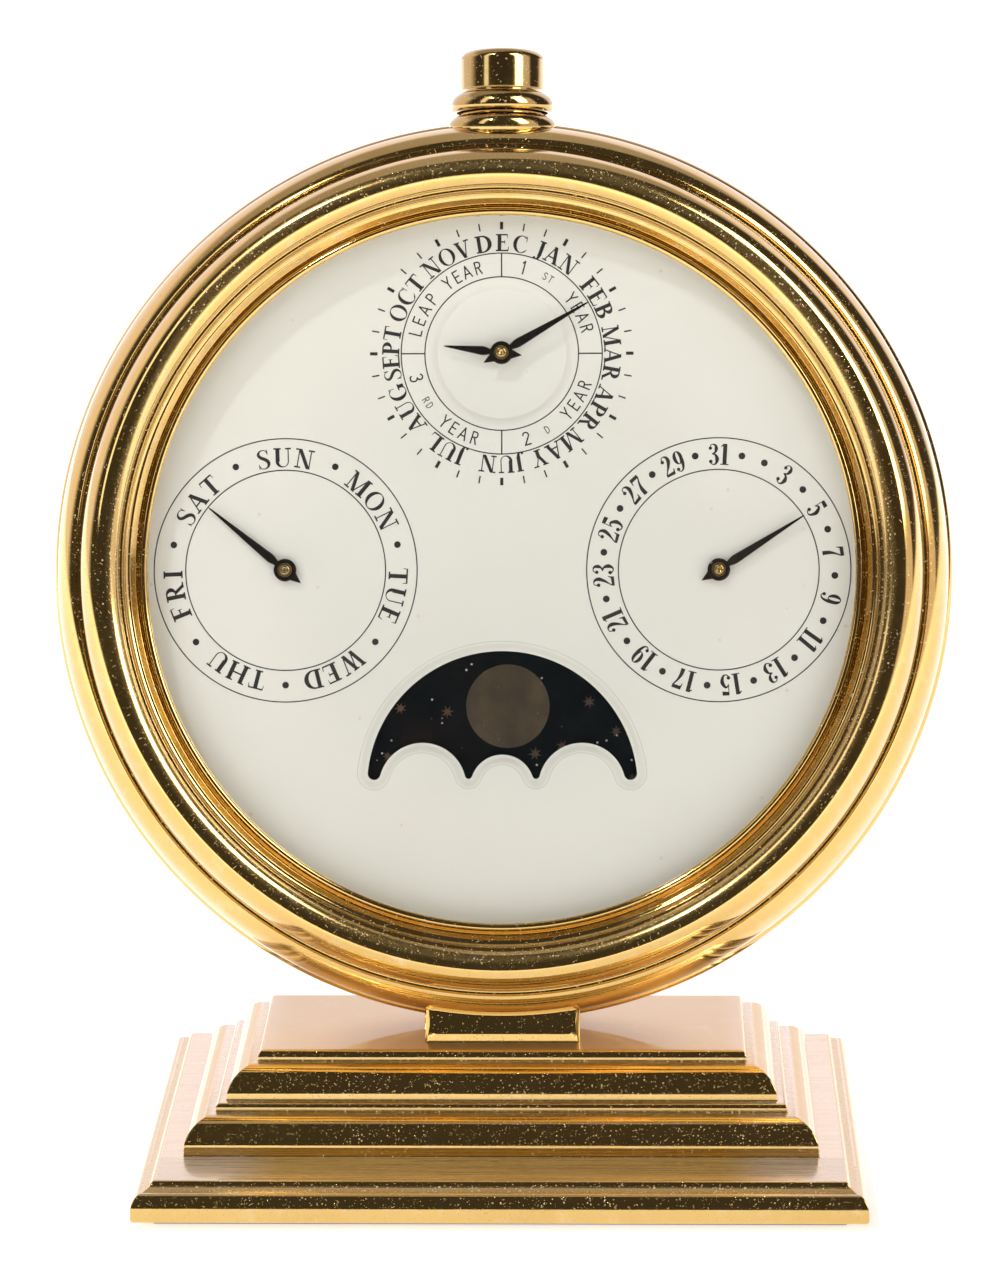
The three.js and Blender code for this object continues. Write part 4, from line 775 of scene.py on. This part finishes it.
# Button and collar
def build_button():
    cap = [(0, 64.9), (1.1, 64.9), (1.1, 62.5), (6.1, 62.5), (6.1, 61.2)]
    cap += ellipse((6.5, 61.95), 0.4, -0.75, 90, 0, 8)
    cap += ellipse((5, 61.95), 1.9, 1.95, 0, 90, 14)[1:]
    cap += [(5, 64.25), (5.65, 64.25)]
    cap += ellipse((3.8, 68.2), 1.85, 1.3, 0, 90, 18)
    cap += [(0, 69.5)]
    make("pusher_cap_turned", lathe(softened(cap, 0.06, closed=False), SMALL_SIDES, True), GILT_SMALL,
         ["pusher_cap"], "gilt", "pusher", sharp=50)

    ring, reach = (5.6, 59.15), 1.66
    collar = [(2.85, 54.5), (5.2, 54.5)]
    collar += ellipse(ring, reach, -2.1, 90, 0, 14)
    collar += ellipse(ring, reach, 1.6, 0, 90, 14)[1:]
    collar += [(5.6, 61.5), (2.85, 61.5)]
    make("pusher_collar_turned", lathe(softened(collar, 0.06), SMALL_SIDES, True), GILT_SMALL,
         ["pusher_collar"], "gilt", sharp=50, cutters=[case_envelope(0.02)])
    sleeve = ring_profile(1.3, 3.45, 53.2, 56.5)
    make("pusher_sleeve", lathe(sleeve, SMALL_SIDES // 2, True), GILT_SMALL, slot="gilt")


def build_spring():
    """Return spring of the button, ended low enough to stay clear at full press."""
    turns, radius, wire, low, high = 6, 2.3, 0.25, 55.3, 61.7
    count, sides = turns * 32, 8
    loops = []
    for step in range(count + 1):
        angle = TURN * turns * step / count
        height = low + (high - low) * step / count
        loop = []
        for side in range(sides):
            lean = TURN * side / sides
            reach = radius + wire * cos(lean)
            loop.append((reach * cos(angle), reach * sin(angle), height + wire * sin(lean)))
        loops.append(loop)
    make("pusher_spring_coil", bridged(loops), STEEL, ["pusher_spring"])


# Dial
def crossing(first, offset, second):
    x = (first ** 2 - second ** 2 + offset ** 2) / (2 * offset)
    return x, sqrt(first ** 2 - x ** 2)


def moon_window(offset, steps=10):
    """Outline of the window, drawn larger by an offset, with the same points whatever the offset."""
    radius, hump, hump_at, centre, end_tip, middle_tip = 18, 5.8, 10.6, 4.23, 0.87, 0.5
    end = crossing(radius - end_tip, hump_at, hump + end_tip)
    middle = crossing(centre + middle_tip, hump_at, hump + middle_tip)
    origin, top, side, beyond = (0, 0), (0, 1), (hump_at, 0), (2 * end[0], 2 * end[1])

    def heading(start, goal):
        return degrees(atan2(goal[1] - start[1], goal[0] - start[0]))

    right = []
    for place, reach, first, last, share in (
            (origin, radius + offset, top, end, 5), (end, end_tip + offset, beyond, side, 1),
            (side, hump - offset, end, middle, 3), (middle, middle_tip + offset, side, origin, 1),
            (origin, centre - offset, middle, top, 1)):
        right += arc(place, reach, heading(place, first), heading(place, last), steps * share)
    left = [(-x, z) for x, z in reversed(right[1:-1])]
    return [(x + MOON[0], z + MOON[1]) for x, z in right + left]


def loop_at(outline, depth):
    return [(x, depth, z) for x, z in outline]


def smooth_step(t):
    return t * t * (3 - 2 * t)


def build_dial():
    def flat(added, removed, depth):
        points, faces = region(added, removed)
        return loop_at(points, depth), faces

    def wall(*loops):
        return bridged([loop_at(outline, depth) for outline, depth in loops], False)

    steps = range(7)
    outer, edge = circle(DIAL, LATHE_SIDES), circle(DIAL - DIAL_EDGE, LATHE_SIDES)
    holes = [circle(1, PIN_SIDES, DAY), circle(1, PIN_SIDES, DATE)]
    month_hole = circle(1.3, PIN_SIDES, MONTH)
    wide, narrow = RECESS
    recess = [circle(wide + (narrow - wide) * step / 6, 160, MONTH) for step in steps]
    window = [moon_window(1.27 * (1 - step / 6)) for step in steps]
    floor = DIAL_FRONT + RECESS_DEPTH
    parts = [flat([edge], holes + [recess[0], window[0]], DIAL_FRONT),
             flat([outer], holes + [month_hole, window[-1]], DIAL_BACK),
             wall((edge, DIAL_FRONT), (outer, DIAL_FRONT + DIAL_EDGE), (outer, DIAL_BACK))]
    parts += [wall((hole, DIAL_FRONT), (hole, DIAL_BACK)) for hole in holes]
    parts += [wall(*[(recess[step], DIAL_FRONT + RECESS_DEPTH * (step / 6) ** 2) for step in steps]),
              flat([recess[-1]], [month_hole], floor), wall((month_hole, floor), (month_hole, DIAL_BACK)),
              wall(*[(window[step], DIAL_FRONT + 0.7 * smooth_step(step / 6)) for step in steps],
                   (window[-1], DIAL_BACK))]
    make("dial_plate", joined(*parts), DIAL_WHITE, ["dial"], sharp=40)
    # A thin grey line round the window, just outside its bevel.
    edging = sheet([moon_window(1.33)], [moon_window(1.28)], DIAL_FRONT - 0.006, DIAL_FRONT - 0.001)
    make("window_line", edging, WINDOW_LINE_GREY, slot="dial_white", weighted=False)


# Lettering: outlines in hundredths of the height of a capital; several numbers in a row are x, y, x, y
THICK = 16.5
HAIR = 8
PLAIN_LINE = 10.5
WIDEN = 1.27


def pairs(*flat):
    return list(zip(flat[::2], flat[1::2]))


def box(x0, y0, x1, y1):
    return [(x0, y0), (x1, y0), (x1, y1), (x0, y1)]


def slant(x0, y0, x1, y1, width):
    half = width / 2
    return [(x0 - half, y0), (x0 + half, y0), (x1 + half, y1), (x1 - half, y1)]


def arch(cx, cy, rx, ry, ix, iy, start, end, shift=0, steps=18):
    outer = ellipse((cx, cy), rx, ry, start, end, steps)
    inner = ellipse((cx + shift, cy), ix, iy, start, end, steps)
    return outer + inner[::-1]


def curve(widths, *flat):
    """A stroke of changing width along a smooth path."""
    points = [Vector(point) for point in pairs(*flat)]
    path, sizes, steps = [], [], 5
    last = len(points) - 1
    for i in range(last):
        a, b, c, d = (points[max(0, min(last, i + k))] for k in (-1, 0, 1, 2))
        for step in range(steps):
            t = step / steps
            path.append(0.5 * (2 * b + (c - a) * t + (2 * a - 5 * b + 4 * c - d) * t ** 2
                               + (3 * b - a - 3 * c + d) * t ** 3))
            sizes.append(widths[i] * (1 - t) + widths[i + 1] * t)
    path.append(points[-1])
    sizes.append(widths[-1])
    left, right = [], []
    for i, spot in enumerate(path):
        way = path[min(i + 1, len(path) - 1)] - path[max(i - 1, 0)]
        side = Vector((-way.y, way.x)).normalized() * sizes[i] / 2
        left.append(tuple(spot + side))
        right.append(tuple(spot - side))
    return left + right[::-1]


def bend(*flat):
    return curve([PLAIN_LINE] * (len(flat) // 2), *flat)


def straight(*flat):
    strokes = []
    points = [Vector(point) for point in pairs(*flat)]
    for a, b in zip(points, points[1:]):
        way = (b - a).normalized() * PLAIN_LINE / 2
        side = Vector((-way.y, way.x))
        corners = (a - way + side, a - way - side, b + way - side, b + way + side)
        strokes.append([tuple(corner) for corner in corners])
    return strokes


def ball(x, y, radius):
    return arc((x, y), radius, 0, 340, 17)


def feet(*flat):
    return [box(x0, 0, x1, HAIR) for x0, x1 in pairs(*flat)]


def heads(*flat):
    return [box(x0, 100 - HAIR, x1, 100) for x0, x1 in pairs(*flat)]


def stem(x, width=THICK, low=0, high=100):
    return [box(x, low, x + width, high)]


def upper_bowl(right, low, edge):
    mid = (100 + low) / 2
    half = (100 - low) / 2
    return [arch(edge, mid, right - edge, half, right - edge - THICK, half - HAIR, -90, 90),
            box(15, 100 - HAIR, edge + 2, 100), box(15, low, edge + 2, low + HAIR)]


def serif_glyphs():
    t, h = THICK, HAIR
    left = stem(8) + feet(0, 30) + heads(0, 22)
    bowl_p = upper_bowl(57, 45, 30)
    arms = heads(10, 54) + [pairs(50.5, 100, 54, 100, 55, 76, 53, 76)]
    mid_arm = [box(20, 50, 42, 50 + h), box(39.5, 41, 42, 64)]
    low_arm = feet(20, 56) + [pairs(52, 0, 57, 0, 60, 26, 57.5, 26)]
    half_o = arch(38.5, 50, 37.5, 51.5, 22.5, 47, 90, 270)
    c_body = arch(39, 50, 37, 51.5, 22.5, 47, 50, 312, 2, 26)
    glyphs = {
        "A": (75, [slant(10, 0, 37, 100, 5.5), slant(61, 0, 37, 100, 16), box(18, 30, 52, 30 + h)]
            + feet(0, 22, 48, 75)),
        "B": (63, stem(8) + feet(0, 32) + heads(0, 30) + upper_bowl(55, 51, 28)
            + [arch(29, 27, 33, 27, 33 - t - 1, 27 - h, -90, 90), box(15, 54 - h, 30, 54)]),
        "C": (68, [c_body, box(60.5, 66, 63.5, 100), pairs(60, 14, 66, 24, 68, 22, 62, 10)]),
        "D": (76, left + [box(15, 100 - h, 34, 100), box(15, 0, 34, h),
            arch(32, 50, 42, 50, 42 - t - 2, 50 - h, -90, 90)]),
        "E": (60, left + arms + mid_arm + low_arm),
        "F": (56, left + arms + mid_arm),
        "G": (76, [c_body, box(60.5, 66, 63.5, 100), box(56, 6, 56 + t, 42), box(47, 42 - h, 77, 42)]),
        "H": (80, left + stem(58.5) + feet(50, 80) + heads(50, 80) + [box(20, 49, 60, 49 + h)]),
        "I": (30, left + heads(0, 30)),
        "J": (38, stem(16, t, 12) + heads(8, 38) + [curve([t, 12, 6, 5], 22.8, 20, 22, 0, 13, -12, 3, -9),
            ball(4.5, -4.5, 6)]),
        "L": (58, left + heads(0, 30) + low_arm),
        "M": (94, [box(12, 0, 16.5, 100)] + stem(70) + [slant(46, 0, 15, 100, 15),
            slant(45.5, 0, 75, 100, 5)] + feet(2, 26, 62, 94) + heads(2, 20, 72, 94)),
        "N": (80, [box(13, 0, 17.5, 100), box(62, 0, 66.5, 100), slant(60, 0, 17, 100, 16.5)] + feet(3, 28)
            + heads(0, 20, 52, 78)),
        "O": (77, [half_o, [(77 - x, y) for x, y in half_o][::-1]]),
        "P": (60, left + bowl_p),
        "R": (72, left + bowl_p + [slant(60, 0, 34, 48, 15)] + feet(50, 73)),
        "S": (54, [curve([3.5, 4, 4.5, 8, 12, 15, 16.5, 15, 12, 8, 4.5, 4, 3.5], 45.5, 78, 40, 93, 27,
            98.5, 14, 92, 9, 77, 17, 62, 32, 50, 43, 36, 45, 20, 37, 6, 24, 1.5, 12, 7, 6, 22),
            box(44.5, 72, 47.5, 99), box(4, 2, 7, 28)]),
        "T": (66, stem(26.5) + feet(18, 49) + heads(3, 64)
            + [pairs(3, 100, 6, 100, 3.5, 75, 1, 75), pairs(60, 100, 64, 100, 65.5, 75, 63, 75)]),
        "U": (76, stem(10, t, 30) + [box(60, 30, 64.5, 100)] + heads(2, 32, 50, 74)
            + [ellipse((37.25, 30.2), 27.25, 31.8, 180, 360, 22)
            + ellipse((41.75, 30.2), 18.25, 26.2, 360, 180, 22)]),
        "V": (72, [slant(37, -1, 13, 100, 15.5), slant(37.5, -1, 60, 100, 5)] + heads(2, 28, 48, 72)),
        "W": (102, [slant(33, -1, 12, 100, 15), slant(33.5, -1, 52, 100, 5), slant(69, -1, 48, 100, 15),
            slant(69.5, -1, 90, 100, 5)] + heads(2, 27, 36, 62, 79, 102)),
        "Y": (70, [slant(34, 42, 12, 100, 15), slant(36, 42, 57, 100, 5)] + stem(27.5, t, 0, 50)
            + feet(19, 50) + heads(1, 27, 46, 70)),
    }
    return {key: (width * WIDEN, [[(x * WIDEN, y) for x, y in shape] for shape in shapes])
            for key, (width, shapes) in glyphs.items()}


def digit_glyphs():
    low_bowl = [3.5, 10, 19, 10, 5, 5]
    nine = arch(28, 68, 23, 32, 7, 28, 90, 270)
    return {
        "1": (42, [box(12, 0, 31, 100), box(2, 0, 41, 5), pairs(2, 84, 13, 90, 13, 100, 2, 88)]),
        "2": (56, [curve([5, 4.5, 4.5, 12, 18, 13, 6, 5], 15, 80, 17, 93, 28, 98, 40, 90, 43, 72, 33, 48,
            19, 27, 9, 12), ball(15, 76, 8.5), pairs(6, 0, 49, 0, 53, 28, 49.5, 28, 44, 15.5, 6, 12)]),
        "3": (55, [curve([4.5, 4.5, 4.5, 11, 17, 9, 4], 13, 83, 16, 94, 26, 98, 38, 92, 41, 76, 35, 60, 20,
            53), curve(low_bowl, 20, 53, 36, 47, 43, 27, 37, 8, 25, 2, 12, 9), ball(13.5, 80, 8),
            ball(12.5, 17, 8.5)]),
        "5": (55, [pairs(12, 84, 45, 80, 44, 100, 12, 100), box(12, 46, 15.5, 100),
            curve(low_bowl, 13, 50, 27, 62, 43, 38, 38, 10, 25, 2, 12, 9), ball(12.5, 17, 8.5)]),
        "7": (54, [pairs(6, 83, 51, 83, 51, 100, 8, 100), pairs(5, 68, 8, 68, 13, 84, 6, 84),
            curve([5, 9, 17, 20], 48.5, 86, 34, 58, 26, 30, 25, 0)]),
        "9": (56, [nine, [(56 - x, y) for x, y in nine][::-1],
            curve([16, 15, 9, 5, 5], 43, 66, 43, 38, 37, 12, 25, 2, 13, 8), ball(13.5, 15, 8)]),
    }


def plain_glyphs():
    bowl = [bend(10, 96, 32, 96, 47, 87, 47, 62, 32, 53, 10, 53)]
    return {
        "1": (26, straight(4, 83, 16, 96, 16, 4)),
        "2": (56, [bend(6, 75, 12, 92, 28, 96, 44, 88, 46, 70, 32, 46, 6, 5)] + straight(6, 5, 48, 5)),
        "3": (56, [bend(6, 82, 15, 94, 29, 96, 43, 87, 42, 66, 25, 55),
            bend(25, 55, 43, 48, 48, 27, 38, 8, 25, 4, 12, 7, 5, 20)]),
        "A": (66, straight(5, 4, 33, 96, 61, 4) + straight(15, 33, 51, 33)),
        "D": (60, straight(10, 4, 10, 96) + [bend(10, 96, 30, 95, 50, 78, 54, 50, 50, 22, 30, 5, 10, 4)]),
        "E": (52, straight(48, 96, 10, 96, 10, 4, 48, 4) + straight(10, 52, 44, 52)),
        "L": (50, straight(10, 96, 10, 4, 46, 4)),
        "P": (56, straight(10, 4, 10, 96) + bowl),
        "R": (58, straight(10, 4, 10, 96) + bowl + straight(30, 53, 50, 4)),
        "S": (54, [bend(46, 80, 36, 94, 20, 95, 8, 84, 10, 65, 27, 53, 44, 42, 48, 22, 36, 6, 20, 5, 6,
            20)]),
        "T": (56, straight(4, 96, 52, 96) + straight(28, 96, 28, 4)),
        "Y": (58, straight(5, 96, 29, 48, 53, 96) + straight(29, 48, 29, 4)),
    }


SERIF = serif_glyphs()
DIGITS = digit_glyphs()
PLAIN = plain_glyphs()


def printed(outlines):
    return sheet(outlines, [], PRINT_FRONT, PRINT_BACK)


def lettered(text, glyphs, centre, radius, angle, size, spacing, inward=False):
    """Forms of a word on an arc round a centre, at a clockwise angle in degrees from the top."""
    forms = []
    side, scale = -1 if inward else 1, size / 100
    widths = [glyphs[letter][0] * scale for letter in text]
    cursor = -(sum(widths) + spacing * (len(text) - 1)) / 2
    for letter, width in zip(text, widths):
        turn = radians(angle) + side * (cursor + width / 2) / (radius + side * size / 2)
        outlines = [[polar(centre, turn, radius + side * y * scale, side * (x * scale - width / 2))
                     for x, y in shape] for shape in glyphs[letter][1]]
        forms.append(printed(outlines))
        cursor += width + spacing
    return forms


def printed_ring(centre, radius):
    half = 0.075
    return moved(lathe(ring_profile(radius - half, radius + half, PRINT_FRONT, PRINT_BACK), 240), centre)


def printed_dot(centre, radius, angle, size):
    return printed([circle(size / 2, 28, polar(centre, radians(angle), radius))])


def printed_tick(angle, start, end, width):
    return printed([[polar(MONTH, radians(angle), out, side * width / 2)
                     for out, side in ((start, -1), (start, 1), (end, 1), (end, -1))]])


def build_print():
    day = [printed_ring(DAY, radius) for radius in DAY_RINGS]
    for index, name in enumerate(("SUN", "MON", "TUE", "WED", "THU", "FRI", "SAT")):
        angle = index * 360 / 7
        day += lettered(name, SERIF, DAY, 13.72, angle, 2.55, 0.72 if name == "FRI" else 0.42)
        day.append(printed_dot(DAY, 15.26, angle + 180 / 7, 0.88))

    date = [printed_ring(DATE, radius) for radius in DAY_RINGS]
    for number in range(1, 32):
        angle = number * 360 / 31
        if number % 2 and number > 1:
            date += lettered(str(number), DIGITS, DATE, 13.91, angle, 2.8, 0.12)
        else:
            date.append(printed_dot(DATE, 15.39, angle, 0.9))

    month = [printed_ring(MONTH, radius) for radius in MONTH_RINGS]
    names = ("DEC", "JAN", "FEB", "MAR", "APR", "MAY", "JUN", "JUL", "AUG", "SEPT", "OCT", "NOV")
    for index, name in enumerate(names):
        spacing = {"DEC": 0.52, "SEPT": 0.08}.get(name, 0.22)
        month += lettered(name, SERIF, MONTH, 13.60, index * 30, 2.28, spacing)
    for index in range(36):
        month.append(printed_tick(index * 10, 16.5, 17.5, 0.19 if index % 3 else 0.42))
    for index in range(4):
        month.append(printed_tick(index * 90, *MONTH_RINGS, 0.17))
    years = (("1", 14.4, 1.8, False), ("ST", 31.5, 1, False), ("YEAR", 62.5, 1.72, False),
             ("LEAP", 296, 1.72, False), ("YEAR", 333.5, 1.72, False),
             ("2", 163.6, 1.8, True), ("D", 149.3, 1, True), ("YEAR", 122, 1.72, True),
             ("3", 254, 1.8, True), ("RD", 236.5, 1, True), ("YEAR", 209, 1.72, True))
    for text, angle, size, inward in years:
        base = 11.78 + (size / 2 if inward else -size / 2)
        spacing = (0.40 if text == "LEAP" else 0.29) * size
        month += lettered(text, PLAIN, MONTH, base, angle, size, spacing, inward)
    for name, forms in (("day_print", day), ("date_print", date), ("month_print", month)):
        make(name, joined(*forms), PRINT_BLACK, slot="hand_black", weighted=False)


# Hands
def hand_outline(length, inset):
    """Tapered blade, round hub and short arrow tail, drawn smaller by an inset."""
    hub, root, shoulder, blade = 1.5 - inset, 1.4, 2.55, 0.62 - inset
    tip = length - inset * 3
    right = [(0, tip), (0.1, tip - 0.35), (blade * 0.98, shoulder), (blade * 0.9, shoulder - 0.35)]
    start = degrees(atan2(root, 0.34 - inset * 0.5))
    right += arc((0, 0), hub, start, degrees(atan2(-root, blade)), 18)
    right += [(0, -2.75 + inset * 3)]
    return right + [(-x, z) for x, z in reversed(right[1:-1])]


def build_hand(name, body, centre, angle, length, depths, node):
    front, back = depths
    edge = 0.09
    outlines = [[polar(centre, radians(angle), z, x) for x, z in hand_outline(length, inset)]
                for inset in (edge, 0, 0)]
    forms = [bridged([loop_at(*pair) for pair in zip(outlines, (front, front + edge, back))], False)]
    for outline, depth in ((outlines[0], front), (outlines[-1], back)):
        points, faces = region([outline[::-1]])
        forms.append((loop_at(points, depth), faces))
    make(name, joined(*forms), HAND_BLACK, [node], body=body, sharp=30)


def build_pin(name, body, centre, front, back):
    """A gilt arbor end with a dimple and a darker foot ring."""
    radius = 0.72
    dome = [(0, front + 0.16), (radius * 0.25, front + 0.12), (radius * 0.45, front + 0.02),
            (radius * 0.62, front), (radius * 0.85, front + 0.06), (radius, front + 0.2), (radius, back),
            (0, back)]
    inner, outer = radius + 0.01, radius + 0.22
    collar = [(inner, back), (inner, front + 0.2), (outer - 0.06, front + 0.2), (outer, front + 0.26),
              (outer, back)]
    pin, ring = (moved(lathe(profile, PIN_SIDES), centre) for profile in (dome, collar))
    make(name, pin, GILT_SMALL, (), "steel", body, sharp=60, weighted=False)
    make(name + "_ring", ring, PIN_DARK, (), "plate_brass", body, sharp=40, weighted=False)


def build_hands():
    build_hand("day_hand_blade", "day", DAY, 309.3, 13.2, LOW_HAND, "day_hand")
    build_hand("date_hand_blade", "date", DATE, 57.6, 13.45, LOW_HAND, "date_hand")
    build_hand("month_hand_blade", "month", MONTH, 60, 13.43, HIGH_HAND, "month_hand")
    build_hand("leap_hand_blade", "leap", MONTH, 277, 7.8, LOW_HAND, "leap_year_hand")
    build_pin("day_pin", "day", DAY, -6.7, -5.92)
    build_pin("date_pin", "date", DATE, -6.7, -5.92)
    build_pin("month_pin", "month", MONTH, -7.25, -6.72)


# Moon disc with two moons and their stars
def star_outline(centre, size, turn, points=7):
    return [polar(centre, turn + pi * i / points, size * 0.38 if i % 2 else size)
            for i in range(points * 2)][::-1]


def build_moon():
    front, back, radius = -2.6, -1.8, 19.3
    disc = softened([(radius - 0.1, front), (radius, front + 0.1), (radius, back), (0.8, back)],
                    0.05, 2, False)
    form = lathe([(0, front)] + disc + [(0, back)], 200)
    make("moon_sky", moved(form, MOON), NIGHT, ["moon_disc"], body="moon")
    stars = ((-13.57, 10.39, 0.85, 0.2), (-7.32, 9.90, 0.9, 0.5), (4.35, 4.35, 0.95, 0.1),
             (11.55, 11.26, 0.9, 0.3), (15.13, 7.31, 0.8, 0), (7.97, 5.34, 0.85, 0.6),
             (-15.3, 3.98, 0.7, 0.2), (17.2, 1.15, 0.7, 0.4))
    moons, marks = [], []
    for half in (1, -1):
        moons.append(circle(5.56, SMALL_SIDES // 2, polar(MOON, radians(3.9), half * 10.7))[::-1])
        marks += [star_outline((MOON[0] + half * x, MOON[1] + half * z), size, turn)
                  for x, z, size, turn in stars]
    for name, outlines, material in (("moon_faces", moons, MOON_GILT), ("moon_stars", marks, STAR_GILT)):
        form = joined(*[sheet([outline], [], front - 0.035, front - 0.005) for outline in outlines])
        make(name, form, material, slot="night_enamel", body="moon", weighted=False)


for build in (build_case, build_bezel, build_foot, build_pedestal, build_button, build_spring, build_dial,
              build_print, build_hands, build_moon):
    build()


# Pieces that stay as they are get the material of their slot
def dress_nodes():
    table = {part["node"]: part["material_slot"] for part in frame["record"]["subparts"]}
    for name, node in frame["nodes"].items():
        if not node.material_slots:
            node.data.materials.append(SLOTS[table[name]])
        for place in node.material_slots:
            place.material = SLOTS[table[name]]


dress_nodes()


# Floor, studio room and lights
def build_floor():
    size = 3
    mesh = bpy.data.meshes.new("floor")
    mesh.from_pydata([(*corner, 0) for corner in box(-size, -size, size, size)], [], [(0, 1, 2, 3)])
    s = shader("floor_paper")
    tone = s.mix(s.ramp(s.noise(6), 0.3, 0.7), (0.93, 0.93, 0.92), (0.90, 0.90, 0.895))
    x, y, _ = s.sizes()
    # Painted light: the glow rises with distance from the foot, and is raised beside and behind the foot to wash
    # out the shade on the floor there.
    beside = s.most(s.ramp(s.math("ABSOLUTE", x), 0.045, 0.075), s.ramp(y, -0.03, 0.02))
    power = s.plus(s.ramp(s.radius(x, y), 0.12, 0.9, 0.58, 1), s.times(beside, 0.2))
    paper = s.value("BsdfDiffuse", {"Color": tone})
    glow = s.value("Emission", {"Color": (1, 0.99, 0.975), "Strength": power})
    mesh.materials.append(s.finish(s.value("AddShader", {0: paper, 1: glow})))
    floor = placed("floor", mesh)


def build_world():
    """White room behind, dark room in front, white beyond the floor."""
    world = bpy.data.worlds.new("studio")
    bpy.context.scene.world = world
    s = Nodes(world, "Generated")
    x, y, z = s.sizes()
    turn = s.math("ARCTAN2", x, y)
    aside = s.most(s.times(turn, 1.25), s.times(turn, -0.62))
    behind = s.times(s.ramp(aside, 1.15, 0.85), s.plus(s.times(s.ramp(z, 0.72, 0.52), 0.62), 0.38))
    panel = s.times(s.ramp(turn, 1.6, 1.75), s.ramp(turn, 2.55, 2.35), s.ramp(z, 0.8, 0.55))
    lit = s.most(behind, s.math("LESS_THAN", z, 0), s.times(panel, 0.8))
    room = s.mix(lit, (0.055, 0.050, 0.045), (1.10, 1.00, 1.02))
    seen = s.mix(s.add("LightPath").outputs["Is Camera Ray"], room, (1, 1, 1))
    s.finish(s.value("Background", {"Color": seen, "Strength": 1}), "World")


def area_light(name, azimuth, elevation, distance, size, power):
    """A rectangular light that looks at the case, placed by its bearing from the case."""
    data = bpy.data.lights.new(name, "AREA")
    data.shape = "RECTANGLE"
    data.size, data.size_y = size
    data.energy = power
    a, e = radians(azimuth), radians(elevation)
    way = Vector((sin(a) * cos(e), -cos(a) * cos(e), sin(e)))
    light = placed(name, data)
    light.location = Vector((0, 0, 0.075)) + way * distance
    light.rotation_euler = (-way).to_track_quat("-Z", "Y").to_euler()
    return light


build_floor()
build_world()
area_light("softbox_right", 52, 38, 1.3, (0.5, 1), 9.4).visible_diffuse = False
area_light("softbox_left", -46, 38, 1.3, (0.28, 1), 1.4)
area_light("key_upper_left", -32, 50, 2.2, (0.14, 0.14), 8)
area_light("front_fill", -1.5, 12, 1.2, (1.6, 1.3), 11).visible_glossy = False

scene = bpy.context.scene
scene.view_settings.view_transform = "Standard"
scene.view_settings.look = "None"
